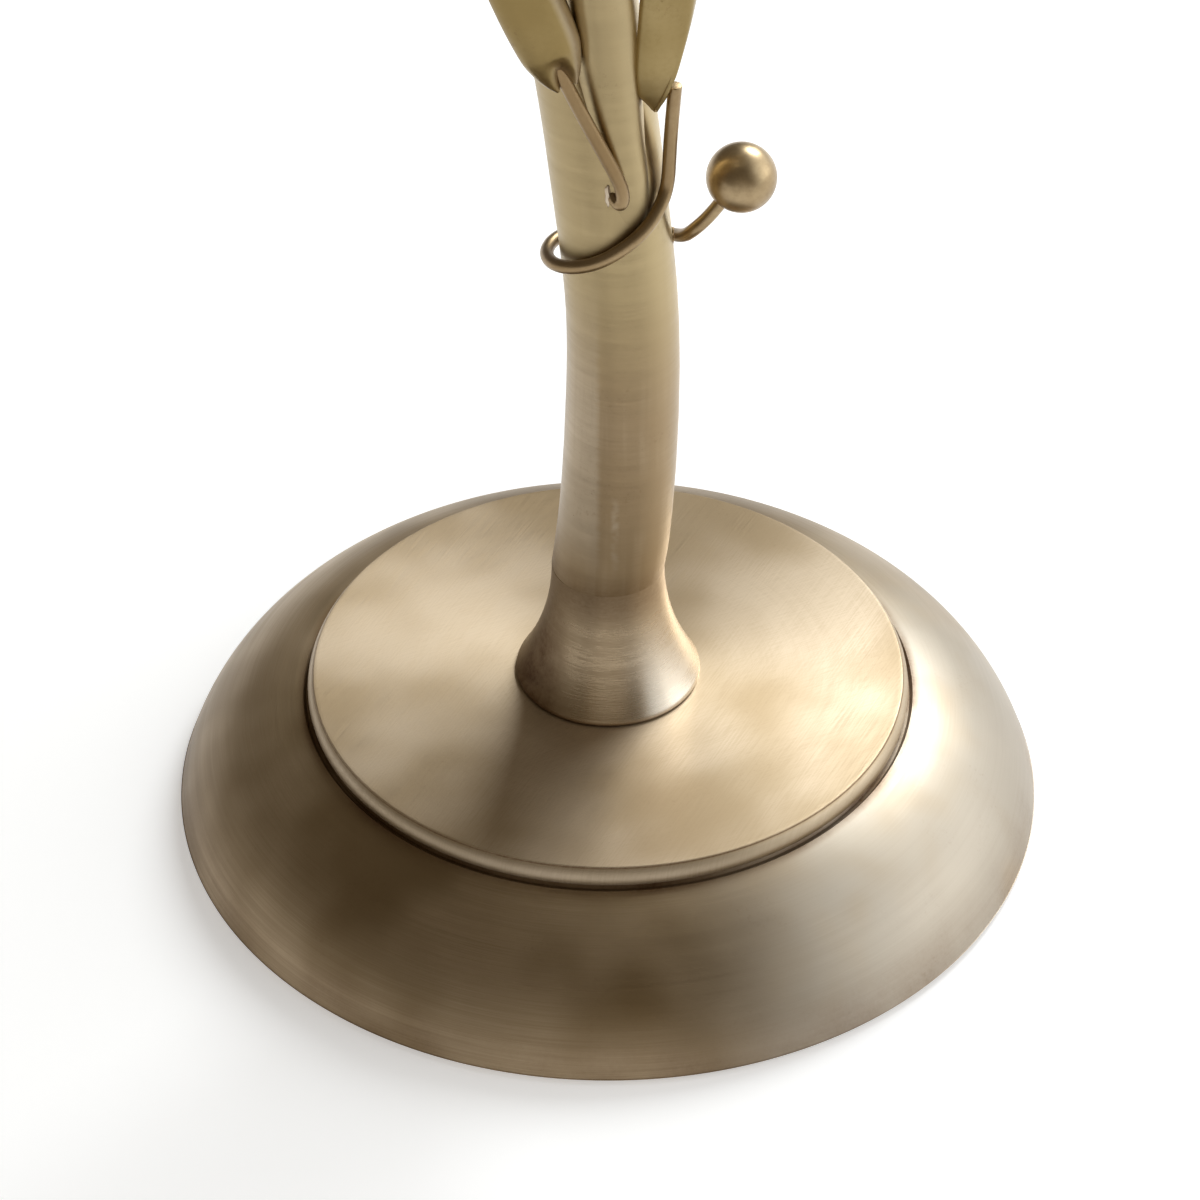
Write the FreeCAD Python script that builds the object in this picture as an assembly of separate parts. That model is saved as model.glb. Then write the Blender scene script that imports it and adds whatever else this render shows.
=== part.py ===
import FreeCAD, Part
import math
import os

# Buffet lamp in satin antique brass, all lengths in millimetres.
# +Z is up and the origin is the centre of the foot, on the surface that the lamp stands on.
# +Y is the back, where the mains lead leaves the base.

# Fits and cuts
running_gap = 0.05
seat_gap = 0.3
overrun = 1.0

# Wire and threaded tube used in several places
leaf_wire_radius = 1.5
nipple_radius = 4.8
nipple_bore = 3.2
nipple_stand = 1.0
thread_nut_radius = 8.0

# Base: felt, cover plate, spun shell, iron weight and turned disc
base_radius = 101.5
rim_lift = 0.8
shoulder_radius = 71.2
shoulder_height = 30.3
dome_radius = 41.6
shell_wall = 1.5
disc_radius = 70.25
disc_thickness = 4.95
disc_edge_round = 1.2
felt_thickness = 2.0
felt_inset = 2.0
cover_thickness = 1.2
weight_radius = 66.0
weight_bore_gap = 0.4
pocket_radius = 17.0
pocket_depth = 11.0
lead_channel_width = 9.0
lead_channel_height = 10.0
washer_radius = 14.0
washer_thickness = 1.6
foot_nut_height = 5.0
cover_screw_radius = 2.0
cover_screw_head_radius = 4.0
cover_screw_length = 9.0
cover_screw_circle = 46.0
cover_screw_count = 3

# Outlet bushing for the mains lead, at the back of the shell
bushing_height = 8.6
bushing_bore = 3.2
bushing_barrel_radius = 4.6
bushing_flange_radius = 6.4
bushing_flange_stand = 1.2
bushing_tail = 4.0

# Flared foot of the stem
foot_radius = 21.5
foot_lip = 0.4
foot_edge_round = 2.4
foot_slope_deg = 35.5
foot_collar = 4.6
foot_plug_thickness = 6.0

# Main stem: a swaying tapered tube
stem_radius = 12.95
stem_wall = 1.6
stem_length = 478.0
stem_sway = 11.0
stem_depth_sway = 5.0

# Side stem: a thinner tube that grows out of the front of the main stem
side_radius = 6.5
side_wall = 1.2
side_tip_radius = 4.4
side_start = 106.0
side_length = 264.0
side_reach = 19.0

# Tendril: one bent wire that loops round the main stem and ends in a berry
tendril_low = 84.3
tendril_rise = 50.5
twig_reach = 26.6
berry_radius = 7.7
berry_rise = 20.4

# Leaves: hollow pods of thin sheet
leaf_length = 78.0
leaf_width = 13.6
leaf_crown = 5.2
leaf_bow = 3.6
leaf_sheet = 0.9
leaf_socket_gap = 0.3
stalk_seat = 11.5
stalk_rise = 40.0
stalk_reach = 17.0
low_stalk_low = 108.5
low_stalk_rise = 40.0

# Neck, saddle and socket
neck_height = 12.0
neck_ring_radius = 13.0
neck_top_radius = 9.0
neck_spigot = 7.0
top_nipple_length = 36.0
saddle_width = 13.0
saddle_thickness = 1.8
saddle_half_span = 28.0
saddle_rise = 12.0
saddle_pin_radius = 1.7
saddle_pin_length = 8.0
lock_nut_height = 3.0
cap_height = 16.0
cap_wall = 0.8
socket_radius = 17.2
socket_wall = 0.6
socket_shell_length = 46.0
liner_wall = 0.8
socket_body_radius = 12.5
socket_body_height = 22.0
screw_shell_wall = 0.5
screw_shell_length = 24.0
contact_width = 5.0
contact_thickness = 0.6
contact_rise = 3.0
terminal_radius = 2.2
terminal_head = 1.2

# Turn switch on the front of the socket
switch_shaft_radius = 1.5
switch_height = 9.0
switch_reach = 31.0
switch_knob_radius = 5.0
switch_knob_length = 12.0
switch_knob_grip = 8.0

# Bulb
bulb_cap_radius = 13.0
bulb_cap_length = 25.0
bulb_cap_wall = 0.6
bulb_tip_radius = 4.6
bulb_radius = 30.0
bulb_neck_radius = 13.6
bulb_neck_straight = 8.0
bulb_length = 96.0
bulb_wall = 0.9

# Harp, its ferrules, the stud and the finial
harp_wire_radius = 1.7
harp_height = 229.0
harp_half_width = 54.0
harp_top_half_width = 20.0
harp_bend = 16.0
ferrule_radius = 3.6
ferrule_length = 15.0
ferrule_travel = 10.0
stud_seat_radius = 5.0
stud_seat_height = 4.0
stud_radius = 3.1
stud_length = 14.0
finial_neck_radius = 6.4
finial_wall = 1.5
finial_neck_height = 9.0
finial_ball_radius = 9.6

# Shade: fabric cone on a spider and a lower ring
shade_bottom_radius = 152.5
shade_top_radius = 127.0
shade_height = 240.0
shade_wall = 1.2
shade_ring_radius = 1.6
spider_drop = 11.0
spider_arm_radius = 1.5
spider_arm_count = 3
hub_radius = 9.0
hub_thickness = 2.2

# Courses as shares: height, sway to the right, sway to the back, radius
stem_course_shares = [
    (0.000, 0.00, 0.00, 1.000), (0.028, 0.14, 0.00, 0.998), (0.084, 0.27, 0.00, 0.985),
    (0.118, 0.30, 0.00, 0.970), (0.163, 0.24, 0.00, 0.955), (0.212, 0.03, 0.00, 0.955),
    (0.264, -0.23, 0.00, 0.955), (0.315, -0.56, 0.00, 0.940), (0.385, -0.90, 0.12, 0.905),
    (0.460, -1.00, 0.45, 0.870), (0.560, -0.55, 0.80, 0.825), (0.660, 0.20, 0.70, 0.785),
    (0.760, 0.72, 0.10, 0.745), (0.850, 0.66, -0.40, 0.715), (0.930, 0.25, -0.22, 0.695),
    (1.000, 0.00, 0.00, 0.690),
]

# Side stem: height share, azimuth from the main stem in degrees, reach share, radius share
side_course_shares = [
    (-0.03, -62.0, 0.292, 1.00), (0.00, -62.5, 0.327, 1.00), (0.03, -63.0, 0.337, 1.00),
    (0.06, -64.0, 0.344, 1.00), (0.10, -65.0, 0.352, 1.00), (0.135, -65.5, 0.369, 1.00),
    (0.17, -66.0, 0.447, 1.00), (0.206, -66.5, 0.565, 1.00), (0.28, -70.0, 0.83, 0.98),
    (0.42, -87.0, 1.18, 0.94), (0.58, -102.0, 1.32, 0.88),
    (0.76, -115.0, 1.22, 0.80), (0.90, -122.0, 1.08, 0.73), (1.00, -124.0, 1.04, 0.68),
]

# Tendril round the main stem: height share, azimuth in degrees, stand-off in wire radii
tendril_course_shares = [
    (1.00, -24.5, 3.75), (0.76, -25.0, 1.95), (0.61, -25.0, 1.10), (0.49, -25.5, 0.50),
    (0.415, -36.0, 0.30), (0.332, -56.0, 0.24), (0.263, -77.0, 0.24), (0.182, -102.0, 0.32),
    (0.120, -128.0, 0.60), (0.073, -154.0, 1.10), (0.042, -180.0, 1.30), (0.02, -207.0, 1.20),
    (0.00, -236.0, 0.75), (-0.01, -264.0, 0.50), (-0.01, -292.0, 0.50), (0.01, -320.0, 0.60),
    (0.070, -344.0, 0.85),
]

# Twig that carries the berry: share of its reach from the stem's axis, share of the berry's rise
twig_course_shares = [(0.610, 0.34), (0.725, 0.49), (0.820, 0.66)]
twig_azimuth_deg = 4.5

# Lower left stalk: height share, azimuth in degrees, stand-off in wire radii
low_stalk_course_shares = [
    (-0.015, -92.7, 0.25), (-0.04, -82.9, 0.25), (0.012, -73.7, 0.30), (0.14, -76.0, 0.60),
    (0.35, -86.5, 0.90), (0.58, -97.0, 1.40), (0.80, -105.0, 2.00), (1.00, -111.0, 2.70),
]

# Upper stalks: share of the stem's length from its lower end, azimuth in degrees, lean share
upper_stalks = [
    ("right_rear", 0.360, 38.0, 1.00), ("left_mid", 0.430, 176.0, 1.10),
    ("right_mid", 0.520, -28.0, 1.15), ("rear_mid", 0.600, 112.0, 1.00),
    ("left_high", 0.680, -158.0, 1.10), ("right_high", 0.750, 14.0, 0.95),
]
stalk_course_shares = [(0.00, 0.00), (0.22, 0.10), (0.52, 0.36), (0.80, 0.72), (1.00, 1.04)]

# Upper berries: share of the stem's length, azimuth in degrees
upper_berries = [("left", 0.575, -150.0), ("right", 0.440, 62.0)]
berry_twig_course_shares = [(0.00, 0.30), (0.05, 0.50), (0.20, 0.68), (0.52, 0.86)]

# Leaf outline: length share, width share, crown share, bow share
leaf_outline_shares = [
    (0.00, 0.16, 0.16, 0.00), (0.035, 0.52, 0.42, 0.10), (0.09, 0.76, 0.70, 0.30),
    (0.18, 0.93, 0.92, 0.58), (0.32, 1.00, 1.00, 0.88), (0.48, 0.95, 0.97, 1.00),
    (0.66, 0.75, 0.82, 0.86), (0.82, 0.47, 0.56, 0.54), (0.94, 0.20, 0.27, 0.20),
    (1.00, 0.06, 0.08, 0.00),
]
leaf_flank_share = 0.62
leaf_ridge_share = 0.10

# Small proportions
saddle_bend_share = 0.35
cap_bulge_share = 0.18
cap_taper_share = 0.12
knob_round_share = 0.25
knob_flute_share = 0.22
knob_flutes = 12
ferrule_round_share = 0.3
ball_seat_share = 0.80

# Places of the two lower leaves
low_left_facing_deg = -62.0
low_right_facing_deg = -50.0
low_right_azimuth_deg = -33.0
low_right_low = 127.5
low_right_stand = 2.4
low_right_lean_deg = 1.0
low_right_lean_azimuth_deg = -20.0

# Harp outline above its straight legs: height share, width share between the saddle and the widest place
harp_outline_shares = [(0.12, 0.62), (0.36, 1.00), (0.65, 0.94), (0.86, 0.52)]

# Spider arm: shares of its reach where it starts to rise and where it is level again
spider_arm_shares = (0.15, 0.22)

# Levels and radii that follow from the sizes above
cover_bottom = felt_thickness
cover_top = cover_bottom + cover_thickness
ceiling = shoulder_height - shell_wall
disc_top = shoulder_height + disc_thickness
foot_rise_ratio = 1 - math.cos(math.radians(foot_slope_deg))
foot_flare_radius = (foot_radius - foot_edge_round * foot_rise_ratio - stem_radius) / foot_rise_ratio
foot_flare_height = foot_lip + (foot_edge_round + foot_flare_radius) * math.sin(math.radians(foot_slope_deg))
foot_top = disc_top + foot_flare_height + foot_collar
stem_top = foot_top + stem_length
neck_top = stem_top + neck_height
saddle_top = neck_top + saddle_thickness
lock_nut_top = saddle_top + lock_nut_height
cap_bottom = lock_nut_top
cap_top = cap_bottom + cap_height
socket_top = cap_top + socket_shell_length
screw_shell_radius = bulb_cap_radius + seat_gap + screw_shell_wall
socket_body_top = cap_top + socket_body_height
screw_shell_top = socket_body_top + screw_shell_length
bulb_cap_bottom = socket_body_top + contact_rise + seat_gap
bulb_glass_bottom = bulb_cap_bottom + bulb_cap_length
switch_level = cap_top + switch_height
pin_bottom = neck_top + saddle_rise
pin_top = pin_bottom + saddle_pin_length
harp_top = neck_top + harp_height
seat_top = harp_top + stud_seat_height
hub_bottom = seat_top + running_gap
hub_top = hub_bottom + hub_thickness
shade_top = hub_top + spider_drop
shade_bottom = shade_top - shade_height
dome_half_chord = math.hypot(base_radius - shoulder_radius, shoulder_height - rim_lift) / 2


def vec(x, y, z):
    return FreeCAD.Vector(x, y, z)


def polar(radius, azimuth_deg, z):
    a = math.radians(azimuth_deg)
    return vec(radius * math.cos(a), radius * math.sin(a), z)


def save(name, shape):
    """Write one sub-part and say how large it is."""
    shape.exportStep("parts/" + name + ".step")
    print(name, len(shape.Solids), round(shape.Volume, 2), shape.isValid())


def cylinder(radius, bottom, top, centre=None, axis=None):
    """A cylinder about Z between two levels, or along an axis from a centre."""
    if axis is None:
        return Part.makeCylinder(radius, top - bottom, vec(0, 0, bottom))
    return Part.makeCylinder(radius, top - bottom, centre + axis * bottom, axis)


def ring(outer, inner, bottom, top):
    return cylinder(outer, bottom, top).cut(cylinder(inner, bottom - overrun, top + overrun))


def revolve(edges):
    """Turn an outline in the XZ plane about the Z axis."""
    face = Part.Face(Part.Wire(Part.__sortEdges__(edges)))
    return face.revolve(vec(0, 0, 0), vec(0, 0, 1), 360)


def lines(points):
    return [Part.LineSegment(a, b).toShape() for a, b in zip(points, points[1:])]


def arc(start, through, end):
    return Part.Arc(start, through, end).toShape()


def bent_path(points, ease_share=0.45):
    """Straight runs joined by tangent arcs that are as large as the runs allow."""
    edges = []
    last = points[0]
    for before, corner, after in zip(points, points[1:], points[2:]):
        run_in = corner - before
        run_out = after - corner
        turn = run_in.getAngle(run_out)
        set_back = ease_share * min(run_in.Length, run_out.Length)
        u = vec(*run_in).normalize()
        w = vec(*run_out).normalize()
        start = corner - u * set_back
        end = corner + w * set_back
        radius = set_back / math.tan(turn / 2)
        sag = radius / math.cos(turn / 2) - radius
        middle = corner + (w - u).normalize() * sag
        edges.append(Part.LineSegment(last, start).toShape())
        edges.append(arc(start, middle, end))
        last = end
    edges.append(Part.LineSegment(last, points[-1]).toShape())
    return Part.Wire(edges)


def circle_at(centre, normal, radius):
    wire = Part.Wire(Part.makeCircle(radius))
    wire.Placement = FreeCAD.Placement(centre, FreeCAD.Rotation(vec(0, 0, 1), normal))
    return wire


def wire_rod(points, radius):
    """A round rod bent along a row of points."""
    start = circle_at(points[0], points[1] - points[0], radius)
    return bent_path(points).makePipeShell([start], True, False)


def smooth_curve(points, upright_ends=False):
    curve = Part.BSplineCurve()
    if upright_ends:
        curve.interpolate(Points=points, InitialTangent=vec(0, 0, 1), FinalTangent=vec(0, 0, 1))
    else:
        curve.interpolate(points)
    return curve


def tapered_tube(points, radii, upright_ends=False):
    """A smooth solid through circles that stand square to the course."""
    curve = smooth_curve(points, upright_ends)
    sections = []
    for point, radius in zip(points, radii):
        tangent = curve.tangent(curve.parameter(point))[0]
        sections.append(circle_at(point, tangent, radius))
    return Part.makeLoft(sections, True, False)


def stem_points():
    return [vec(x * stem_sway, y * stem_depth_sway, foot_top + h * stem_length)
            for h, x, y, r in stem_course_shares]


def stem_radii(less=0):
    return [r * stem_radius - less for h, x, y, r in stem_course_shares]


stem_curve = smooth_curve(stem_points(), True)


def stem_at(z):
    """Centre and radius of the main stem at a height."""
    low, high = stem_curve.FirstParameter, stem_curve.LastParameter
    for step in range(40):
        middle = (low + high) / 2
        if stem_curve.value(middle).z < z:
            low = middle
        else:
            high = middle
    share = (z - foot_top) / stem_length
    table = stem_course_shares
    radius = table[-1][3]
    for lower, upper in zip(table, table[1:]):
        if share <= upper[0]:
            mix = max(0, share - lower[0]) / (upper[0] - lower[0])
            radius = lower[3] + mix * (upper[3] - lower[3])
            break
    return stem_curve.value(low), radius * stem_radius


def beside_stem(z, azimuth_deg, stand_off):
    """A point at a distance from the main stem's surface."""
    centre, radius = stem_at(z)
    side = polar(radius + stand_off, azimuth_deg, 0)
    return vec(centre.x + side.x, centre.y + side.y, z)


# Base

def dome_arc(radius, bottom, top, top_radius, bottom_radius):
    """The dome's side, bulging outwards from the rim to the shoulder."""
    start = vec(bottom_radius, 0, bottom)
    end = vec(top_radius, 0, top)
    chord = end - start
    outward = vec(chord.z, 0, -chord.x).normalize()
    bulge = radius - math.sqrt(radius ** 2 - (chord.Length / 2) ** 2)
    return arc(start, (start + end) / 2 + outward * bulge, end)


def dome_centre():
    start = vec(base_radius, 0, rim_lift)
    end = vec(shoulder_radius, 0, shoulder_height)
    chord = end - start
    inward = vec(-chord.z, 0, chord.x).normalize()
    return (start + end) / 2 + inward * math.sqrt(dome_radius ** 2 - dome_half_chord ** 2)


def dome_solid(wall):
    """The space under the dome's surface, drawn in by a wall."""
    centre = dome_centre()
    radius = dome_radius - wall
    top = shoulder_height - wall
    bottom_radius = centre.x + math.sqrt(radius ** 2 - (rim_lift - centre.z) ** 2)
    top_radius = centre.x + math.sqrt(radius ** 2 - (top - centre.z) ** 2)
    side = dome_arc(radius, rim_lift, top, top_radius, bottom_radius)
    rest = lines([vec(top_radius, 0, top), vec(0, 0, top), vec(0, 0, rim_lift),
                  vec(bottom_radius, 0, rim_lift)])
    return revolve([side] + rest)


def inner_radius_at(level):
    """Radius of the shell's inner face at a level."""
    centre = dome_centre()
    return centre.x + math.sqrt((dome_radius - shell_wall) ** 2 - (level - centre.z) ** 2)


def base_shell():
    shell = dome_solid(0).cut(dome_solid(shell_wall))
    shell = shell.cut(cylinder(nipple_radius + weight_bore_gap, 0, disc_top))
    hole = cylinder(bushing_barrel_radius, weight_radius, base_radius + overrun,
                    vec(0, 0, bushing_height), vec(0, 1, 0))
    return shell.cut(hole)


def cord_bushing():
    flange_face = base_radius + bushing_flange_stand
    wall_inside = inner_radius_at(bushing_height)
    centre = vec(0, 0, bushing_height)
    back = vec(0, 1, 0)
    barrel = cylinder(bushing_barrel_radius, wall_inside - bushing_tail, flange_face, centre, back)
    flange = cylinder(bushing_flange_radius, wall_inside, flange_face, centre, back).cut(dome_solid(0))
    flange = flange.cut(cylinder(bushing_flange_radius + overrun, wall_inside - overrun,
                                 wall_inside, centre, back))
    bore = cylinder(bushing_bore, wall_inside - bushing_tail - overrun, flange_face + overrun, centre, back)
    return barrel.fuse(flange).removeSplitter().cut(bore)


def base_disc():
    disc = cylinder(disc_radius, shoulder_height, disc_top)
    rim = [edge for edge in disc.Edges if edge.Length > disc_radius and edge.BoundBox.ZMin > shoulder_height]
    disc = disc.makeFillet(disc_edge_round, rim)
    return disc.cut(cylinder(nipple_radius + weight_bore_gap, 0, disc_top + overrun))


def cover_screw_places():
    step = 360 / cover_screw_count
    return [polar(cover_screw_circle, step * (k + 0.5) + 90, 0) for k in range(cover_screw_count)]


def screw_shape(place):
    """A countersunk screw that points up from the cover's lower face."""
    at = place + vec(0, 0, cover_bottom)
    head = Part.makeCone(cover_screw_head_radius, cover_screw_radius, cover_thickness, at)
    shank = Part.makeCylinder(cover_screw_radius, cover_screw_length, at)
    return head.fuse(shank)


def base_weight():
    weight = cylinder(weight_radius, cover_top, ceiling)
    weight = weight.cut(cylinder(nipple_radius + weight_bore_gap, 0, disc_top))
    weight = weight.cut(cylinder(pocket_radius, 0, cover_top + pocket_depth))
    channel = Part.makeBox(lead_channel_width, weight_radius + overrun, lead_channel_height + overrun,
                           vec(-lead_channel_width / 2, 0, cover_top - overrun))
    weight = weight.cut(channel)
    for place in cover_screw_places():
        weight = weight.cut(screw_shape(place))
    return weight


def base_cover():
    radius = inner_radius_at(cover_top) - seat_gap
    cover = cylinder(radius, cover_bottom, cover_top)
    for place in cover_screw_places():
        cover = cover.cut(screw_shape(place))
    return cover


def cover_screws():
    return Part.makeCompound([screw_shape(place) for place in cover_screw_places()])


def felt_pad():
    return cylinder(inner_radius_at(cover_top) - felt_inset, 0, felt_thickness)


def hexagon_nut(across, bottom, height, bore):
    corners = [polar(across, 60 * k, bottom) for k in range(7)]
    nut = Part.Face(Part.makePolygon(corners)).extrude(vec(0, 0, height))
    return nut.cut(cylinder(bore, bottom - overrun, bottom + height + overrun))


washer_top = cover_top + pocket_depth
nut_top = washer_top - washer_thickness
nipple_bottom = nut_top - foot_nut_height - nipple_stand


def foot_nipple():
    return ring(nipple_radius, nipple_bore, nipple_bottom, disc_top + foot_plug_thickness)


def foot_washer():
    return ring(washer_radius, nipple_radius, nut_top, washer_top)


def foot_nut():
    return hexagon_nut(thread_nut_radius, nut_top - foot_nut_height, foot_nut_height, nipple_radius)


# Stem

def foot_side(less):
    """The flare's outline from the disc to the collar, drawn in by a wall."""
    slope = math.radians(foot_slope_deg)
    edge = foot_edge_round - less
    flare = foot_flare_radius + less
    edge_centre = vec(foot_radius - foot_edge_round, 0, disc_top + foot_lip)
    flare_centre = vec(stem_radius + foot_flare_radius, 0, disc_top + foot_flare_height)

    def on_edge(angle):
        return edge_centre + vec(edge * math.cos(angle), 0, edge * math.sin(angle))

    def on_flare(angle):
        return flare_centre - vec(flare * math.cos(angle), 0, flare * math.sin(angle))

    foot = vec(foot_radius - less, 0, disc_top)
    collar = vec(stem_radius - less, 0, foot_top)
    edges = lines([foot, on_edge(0)])
    edges.append(arc(on_edge(0), on_edge(slope / 2), on_edge(slope)))
    edges.append(arc(on_flare(slope), on_flare(slope / 2), on_flare(0)))
    edges += lines([on_flare(0), collar])
    return edges


def stem_foot():
    edges = foot_side(0) + foot_side(stem_wall)
    edges += lines([vec(foot_radius, 0, disc_top), vec(foot_radius - stem_wall, 0, disc_top)])
    edges += lines([vec(stem_radius, 0, foot_top), vec(stem_radius - stem_wall, 0, foot_top)])
    return revolve(edges)


def foot_plug():
    plug = cylinder(foot_radius - stem_wall, disc_top, disc_top + foot_plug_thickness)
    inside = revolve(foot_side(stem_wall) + lines([
        vec(foot_radius - stem_wall, 0, disc_top), vec(0, 0, disc_top),
        vec(0, 0, foot_top), vec(stem_radius - stem_wall, 0, foot_top)]))
    return plug.common(inside).cut(cylinder(nipple_radius, 0, foot_top))


stem_outer = tapered_tube(stem_points(), stem_radii(), True)
stem_inner = tapered_tube(stem_points(), stem_radii(stem_wall), True)


def side_points():
    points = []
    for h, azimuth, reach, r in side_course_shares:
        z = foot_top + side_start + h * side_length
        centre, radius = stem_at(z)
        step = polar(reach * side_reach, azimuth, 0)
        points.append(vec(centre.x + step.x, centre.y + step.y, z))
    return points


def side_radii(less=0):
    last = side_course_shares[-1][3]
    span = (side_radius - side_tip_radius) / (1 - last)
    return [side_radius - (1 - r) * span - less for h, azimuth, reach, r in side_course_shares]


side_outer = tapered_tube(side_points(), side_radii())
side_inner = tapered_tube(side_points(), side_radii(side_wall))


def tendril_points():
    points = []
    for h, azimuth, stand_off in tendril_course_shares:
        z = foot_top + tendril_low + h * tendril_rise
        points.append(beside_stem(z, azimuth, leaf_wire_radius * (1 + stand_off)))
    centre, radius = stem_at(foot_top + tendril_low)
    berry = berry_centre()
    for reach, rise in twig_course_shares:
        step = polar(reach * (berry.x - centre.x), twig_azimuth_deg, 0)
        points.append(vec(centre.x + step.x, centre.y + step.y, foot_top + tendril_low + rise * berry_rise))
    points.append(berry)
    return points


def berry_centre():
    centre, radius = stem_at(foot_top + tendril_low)
    return vec(centre.x, centre.y, 0) + polar(twig_reach, twig_azimuth_deg, foot_top + tendril_low + berry_rise)


def low_stalk_points():
    points = []
    for h, azimuth, stand_off in low_stalk_course_shares:
        z = foot_top + low_stalk_low + h * low_stalk_rise
        points.append(beside_stem(z, azimuth, leaf_wire_radius * (1 + stand_off)))
    return points


def stalk_points(height_share, azimuth, lean):
    """A stalk that leaves the main stem and curves up and outwards."""
    start = foot_top + height_share * stem_length
    points = []
    for rise, reach in stalk_course_shares:
        z = start + rise * stalk_rise
        points.append(beside_stem(z, azimuth, leaf_wire_radius / 2 + lean * reach * stalk_reach))
    return points


def berry_twig_points(height_share, azimuth):
    """A short twig with a berry on its end."""
    start = foot_top + height_share * stem_length
    centre, radius = stem_at(start)
    points = []
    for rise, reach in berry_twig_course_shares:
        step = polar(reach * twig_reach, azimuth, 0)
        points.append(vec(centre.x + step.x, centre.y + step.y, start + rise * berry_rise))
    step = polar(twig_reach, azimuth, 0)
    points.append(vec(centre.x + step.x, centre.y + step.y, start + berry_rise))
    return points


# Leaves

def leaf_section(level, half_width, crown, bow, sheet):
    """A crescent of even sheet: two flanks that meet on a soft ridge."""
    ridge = vec(leaf_ridge_share * half_width, -crown - bow, level)
    left = vec(-half_width, -bow, level)
    right = vec(half_width, -bow, level)
    drop = vec(0, sheet, 0)

    def flank(edge):
        middle = (edge + ridge) / 2
        return vec(middle.x + (edge.x - ridge.x) / 2 * (1 - leaf_flank_share) / 2,
                   middle.y - crown / 2 * (1 - leaf_flank_share), level)

    edges = [arc(left, flank(left), ridge), arc(ridge, flank(right), right)]
    edges += lines([right, right + drop])
    edges.append(arc(right + drop, flank(right) + drop, ridge + drop))
    edges.append(arc(ridge + drop, flank(left) + drop, left + drop))
    edges += lines([left + drop, left])
    return Part.Wire(edges)


def leaf_blank(length, width):
    sections = []
    for along, across, crown, bow in leaf_outline_shares:
        sections.append(leaf_section(along * length, across * width / 2, crown * leaf_crown,
                                     bow * leaf_bow, leaf_sheet))
    return Part.makeLoft(sections, True, False)


def placed_leaf(seat, direction, facing_deg, seat_depth, length, width):
    """A leaf along a direction, with its crown facing outwards and its seat some way up its hollow."""
    up = vec(*direction).normalize()
    face = polar(1, facing_deg, 0)
    across = up.cross(face).normalize()
    inward = up.cross(across).normalize()
    turn = FreeCAD.Matrix(across.x, inward.x, up.x, 0, across.y, inward.y, up.y, 0,
                          across.z, inward.z, up.z, 0, 0, 0, 0, 1)
    origin = seat - up * seat_depth + inward * (leaf_wire_radius / 2)
    leaf = leaf_blank(length, width)
    leaf.Placement = FreeCAD.Placement(origin, FreeCAD.Rotation(turn))
    return leaf


def leaf_on(points, facing_deg, length=leaf_length, width=leaf_width):
    return placed_leaf(points[-1], points[-1] - points[-2], facing_deg, stalk_seat, length, width)


def leaf_beside_stem():
    """The lower right leaf, which stands beside the stem and is welded to the tendril's upper end."""
    tip = beside_stem(foot_top + low_right_low, low_right_azimuth_deg, low_right_stand)
    lean = math.radians(low_right_lean_deg)
    direction = polar(math.sin(lean), low_right_lean_azimuth_deg, math.cos(lean))
    return placed_leaf(tip, direction, low_right_facing_deg, 0, leaf_length, leaf_width)


def with_socket(leaf, points):
    """Open the leaf's lower end round its stalk."""
    return leaf.cut(wire_rod(points, leaf_wire_radius + leaf_socket_gap))


# Neck, saddle and socket

def neck_cap():
    """A turned cap with a round bead, seated in the top of the main stem."""
    bead = (neck_ring_radius - neck_top_radius) / 2
    bead_centre = stem_top + neck_height / 2
    tube_end = stem_radii()[-1]
    profile = lines([vec(0, 0, stem_top), vec(tube_end, 0, stem_top)])
    profile.append(arc(vec(tube_end, 0, stem_top), vec(neck_ring_radius - bead, 0, bead_centre - bead),
                       vec(neck_ring_radius, 0, bead_centre)))
    profile.append(arc(vec(neck_ring_radius, 0, bead_centre),
                       vec(neck_ring_radius - bead / 2, 0, bead_centre + bead),
                       vec(neck_top_radius, 0, neck_top)))
    profile += lines([vec(neck_top_radius, 0, neck_top), vec(0, 0, neck_top), vec(0, 0, stem_top)])
    spigot_radius = stem_radii(stem_wall)[-1] - running_gap
    spigot = cylinder(spigot_radius, stem_top - neck_spigot, stem_top)
    cap = revolve(profile).fuse(spigot.cut(stem_outer.cut(stem_inner))).removeSplitter()
    return cap.cut(cylinder(nipple_radius, stem_top - neck_spigot - overrun, neck_top + overrun))


def top_nipple():
    bottom = stem_top - neck_spigot
    return ring(nipple_radius, nipple_bore, bottom, bottom + top_nipple_length)


def saddle_path():
    """The saddle's middle line: flat across the nipple, then up at each end."""
    level = neck_top + saddle_thickness / 2
    half = saddle_half_span
    return [vec(-half, 0, pin_bottom), vec(-half, 0, level), vec(half, 0, level), vec(half, 0, pin_bottom)]


def harp_saddle():
    path = bent_path(saddle_path(), saddle_bend_share)
    start = saddle_path()[0]
    w, t = saddle_width / 2, saddle_thickness / 2
    corners = [start + vec(x * t, y * w, 0) for x, y in [(-1, -1), (1, -1), (1, 1), (-1, 1), (-1, -1)]]
    strap = path.makePipeShell([Part.makePolygon(corners)], True, False)
    strap = strap.cut(cylinder(nipple_radius, neck_top - overrun, saddle_top + overrun))
    for side in (-1, 1):
        pin = cylinder(saddle_pin_radius, 0, saddle_pin_length, vec(side * saddle_half_span, 0, pin_bottom),
                       vec(0, 0, 1))
        strap = strap.fuse(pin)
    return strap.removeSplitter()


def lock_nut():
    return hexagon_nut(thread_nut_radius, saddle_top, lock_nut_height, nipple_radius)


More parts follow.
